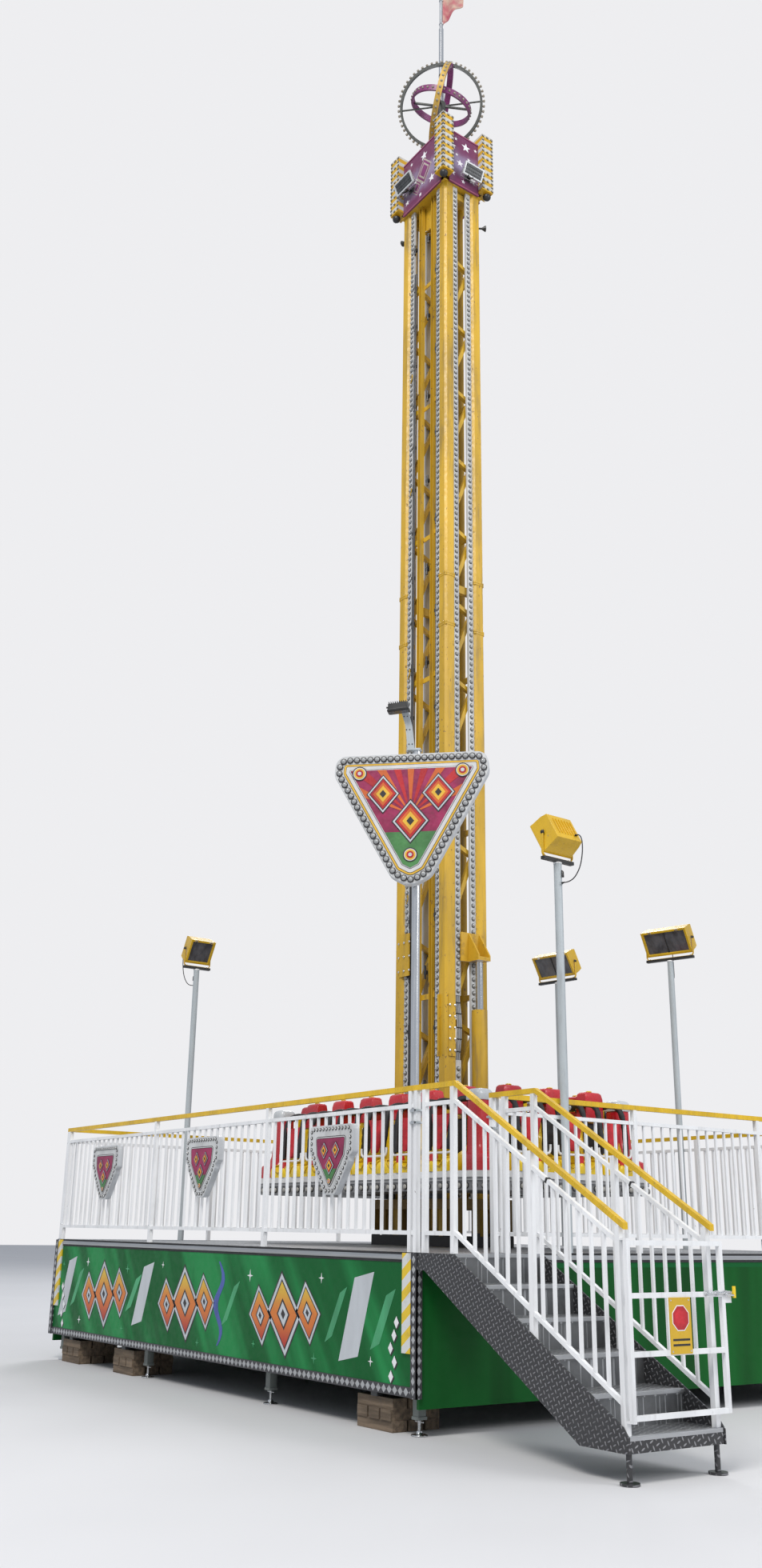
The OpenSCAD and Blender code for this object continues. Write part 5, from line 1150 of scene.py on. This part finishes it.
for y in (-2.14, -2.05, -1.97):
    b.box((5.458, y - 0.008, 1.030), (5.478, y + 0.008, 1.060), 2)
b.tube([(5.467, -1.99, 1.045), (5.480, -1.95, 1.035), (5.482, -1.905, 1.030)], 0.006, 8, 2)
b.box((5.472, -1.905, 1.015), (5.484, -1.885, 1.085), 5)
o = b.done(bevel=0.0004)

# Base of the tower: its yellow painted as a dark ochre, which is painted shade, above a black foot
m = Mat("base_shaded_ochre_foot")
s = m.xyz()
# Both ochres are the tower's yellow darkened as painted shade; the dark streaks laid over them next are dirt
c = m.stain((0.20, 0.115, 0.018), (0.33, 0.19, 0.03), 2.2, 4, 0.35, 0.7, 1, (1, 1, 0.2))
c = m.stain(c, (0.05, 0.04, 0.03), 7, 6, 0.5, 0.78, 0.6, (1, 1, 0.12))
dress("tower_base", m.finish(m.mix(m.ramp(s[2], 1.375, 1.37), c, (0.022, 0.02, 0.02)), 0.5, 60))

# Edge of the deck: bright bar between two black rubber strips, with the green sheet below it
EDGE = ((-0.02, 1.24, 1), (0.006, 1.24, 0), (0.006, 1.224, 0), (0.010, 1.223, 1), (0.0155, 1.215, 1),
        (0.016, 1.205, 1), (0.0155, 1.196, 1), (0.010, 1.188, 0), (0.005, 1.187, 0), (0.005, 1.169, 2),
        (0.0008, 1.168, 2), (0.0008, 1.130, 2), (-0.02, 1.130, 2))
b = Build("edge_profile", "base", "black_rubber", "edge_aluminium", fascia)
HALF_X, HALF_Y = 3.345, 2.840
b.rings([[(sx * (HALF_X + e), sy * (HALF_Y + e), z) for e, z, _ in EDGE]
         for sx, sy in ((-1, -1), (1, -1), (1, 1), (-1, 1))], [mi for _, _, mi in EDGE] * 4, loop=True)
o = b.done(smooth=False)
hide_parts("edge_rail")

# Screw jacks under the deck, and the wide one under the tower
b = Build("screw_jacks", "base", "jack_grey", "bright_steel", "dark_steel")
for x in (-3.215, -1.154, 1.154, 3.215):
    for y in (-2.71, 2.71):
        foot = T(x, y)
        for h, z0, z1 in ((0.036, 0.112, 1.04), (0.042, 0.106, 0.128)):
            b.rings([rbox(x, y, h, h, 0.006, z, 2) for z in (z0, z1)])
        b.lathe([(0.011, 0.02), (0.011, 0.118)], 12, 1, foot)
        for k in range(9):
            b.lathe([(0.011, 0), (0.0135, 0.003), (0.011, 0.006)], 12, 1, T(x, y, 0.036 + k * 0.0085))
        b.lathe([(0.060, 0.0), (0.062, 0.004), (0.058, 0.009), (0.030, 0.013), (0.022, 0.022), (0.020, 0.034)],
                20, 1, foot)
        b.tube([(x - 0.05, y, 0.092), (x + 0.05, y, 0.092)], 0.005, 6, 1)
        for z in (0.30, 0.62):
            b.bolt((x, y - 0.036, z), 0.008, 0.005)
b.lathe([(0.20, 0), (0.20, 0.02), (0.10, 0.03), (0.06, 0.06), (0.052, 0.09), (0.052, 0.86)], 28, 2)
for a in range(4):
    b.prism([(0.05, 0.02), (0.17, 0.02), (0.17, 0.035), (0.05, 0.16)], -0.006, 0.006, 2, T(rz=45 + 90 * a))
b.box((-0.08, -0.10, 0.74), (0.08, 0.10, 1.04), 2)
b.box((-0.08, -0.565, 0.74), (0.08, 0.565, 0.90), 2)
o = b.done(bevel=0.001)
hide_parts("jack_legs")

# Stage
bpy.ops.mesh.primitive_plane_add(size=160, location=(0, 0, -0.002))
floor = bpy.context.object
floor.name = "stage_floor"
m = Mat("stage_floor")
m.out(m.mix(m.noise(0.4, 2), (0.60, 0.60, 0.61), (0.66, 0.66, 0.67)), 0.9)
floor.data.materials.append(m.m)

# World: a cool sky that lights the part, and a pale grey one that the camera sees
w = bpy.data.worlds.new("world")
scene.world = w
w.use_nodes = True
t = w.node_tree
shades = [t.nodes["Background"], t.nodes.new("ShaderNodeBackground")]
for node, col, power in zip(shades, ((0.78, 0.83, 0.92, 1), (0.90, 0.90, 0.92, 1)), (0.62, 0.95)):
    node.inputs[0].default_value, node.inputs[1].default_value = col, power
path, mx = t.nodes.new("ShaderNodeLightPath"), t.nodes.new("ShaderNodeMixShader")
for i, out in enumerate((path.outputs["Is Camera Ray"], shades[0].outputs[0], shades[1].outputs[0])):
    t.links.new(out, mx.inputs[i])
t.links.new(mx.outputs[0], t.nodes["World Output"].inputs[0])

for name, loc, aim, power, size, col in (("key", (16, -22, 30), 6, 9000, 12, (1, 0.97, 0.93)),
                                         ("fill", (24, 8, 16), 5, 2500, 12, (1, 1, 1)),
                                         ("back", (-18, 14, 24), 8, 3000, 10, (1, 1, 1))):
    lamp = bpy.data.lights.new(name, "AREA")
    lamp.energy, lamp.size, lamp.color = power, size, col
    o = bpy.data.objects.new(name, lamp)
    scene.collection.objects.link(o)
    o.location = loc
    o.rotation_euler = (Vector((0, 0, aim)) - Vector(loc)).to_track_quat("-Z", "Y").to_euler()
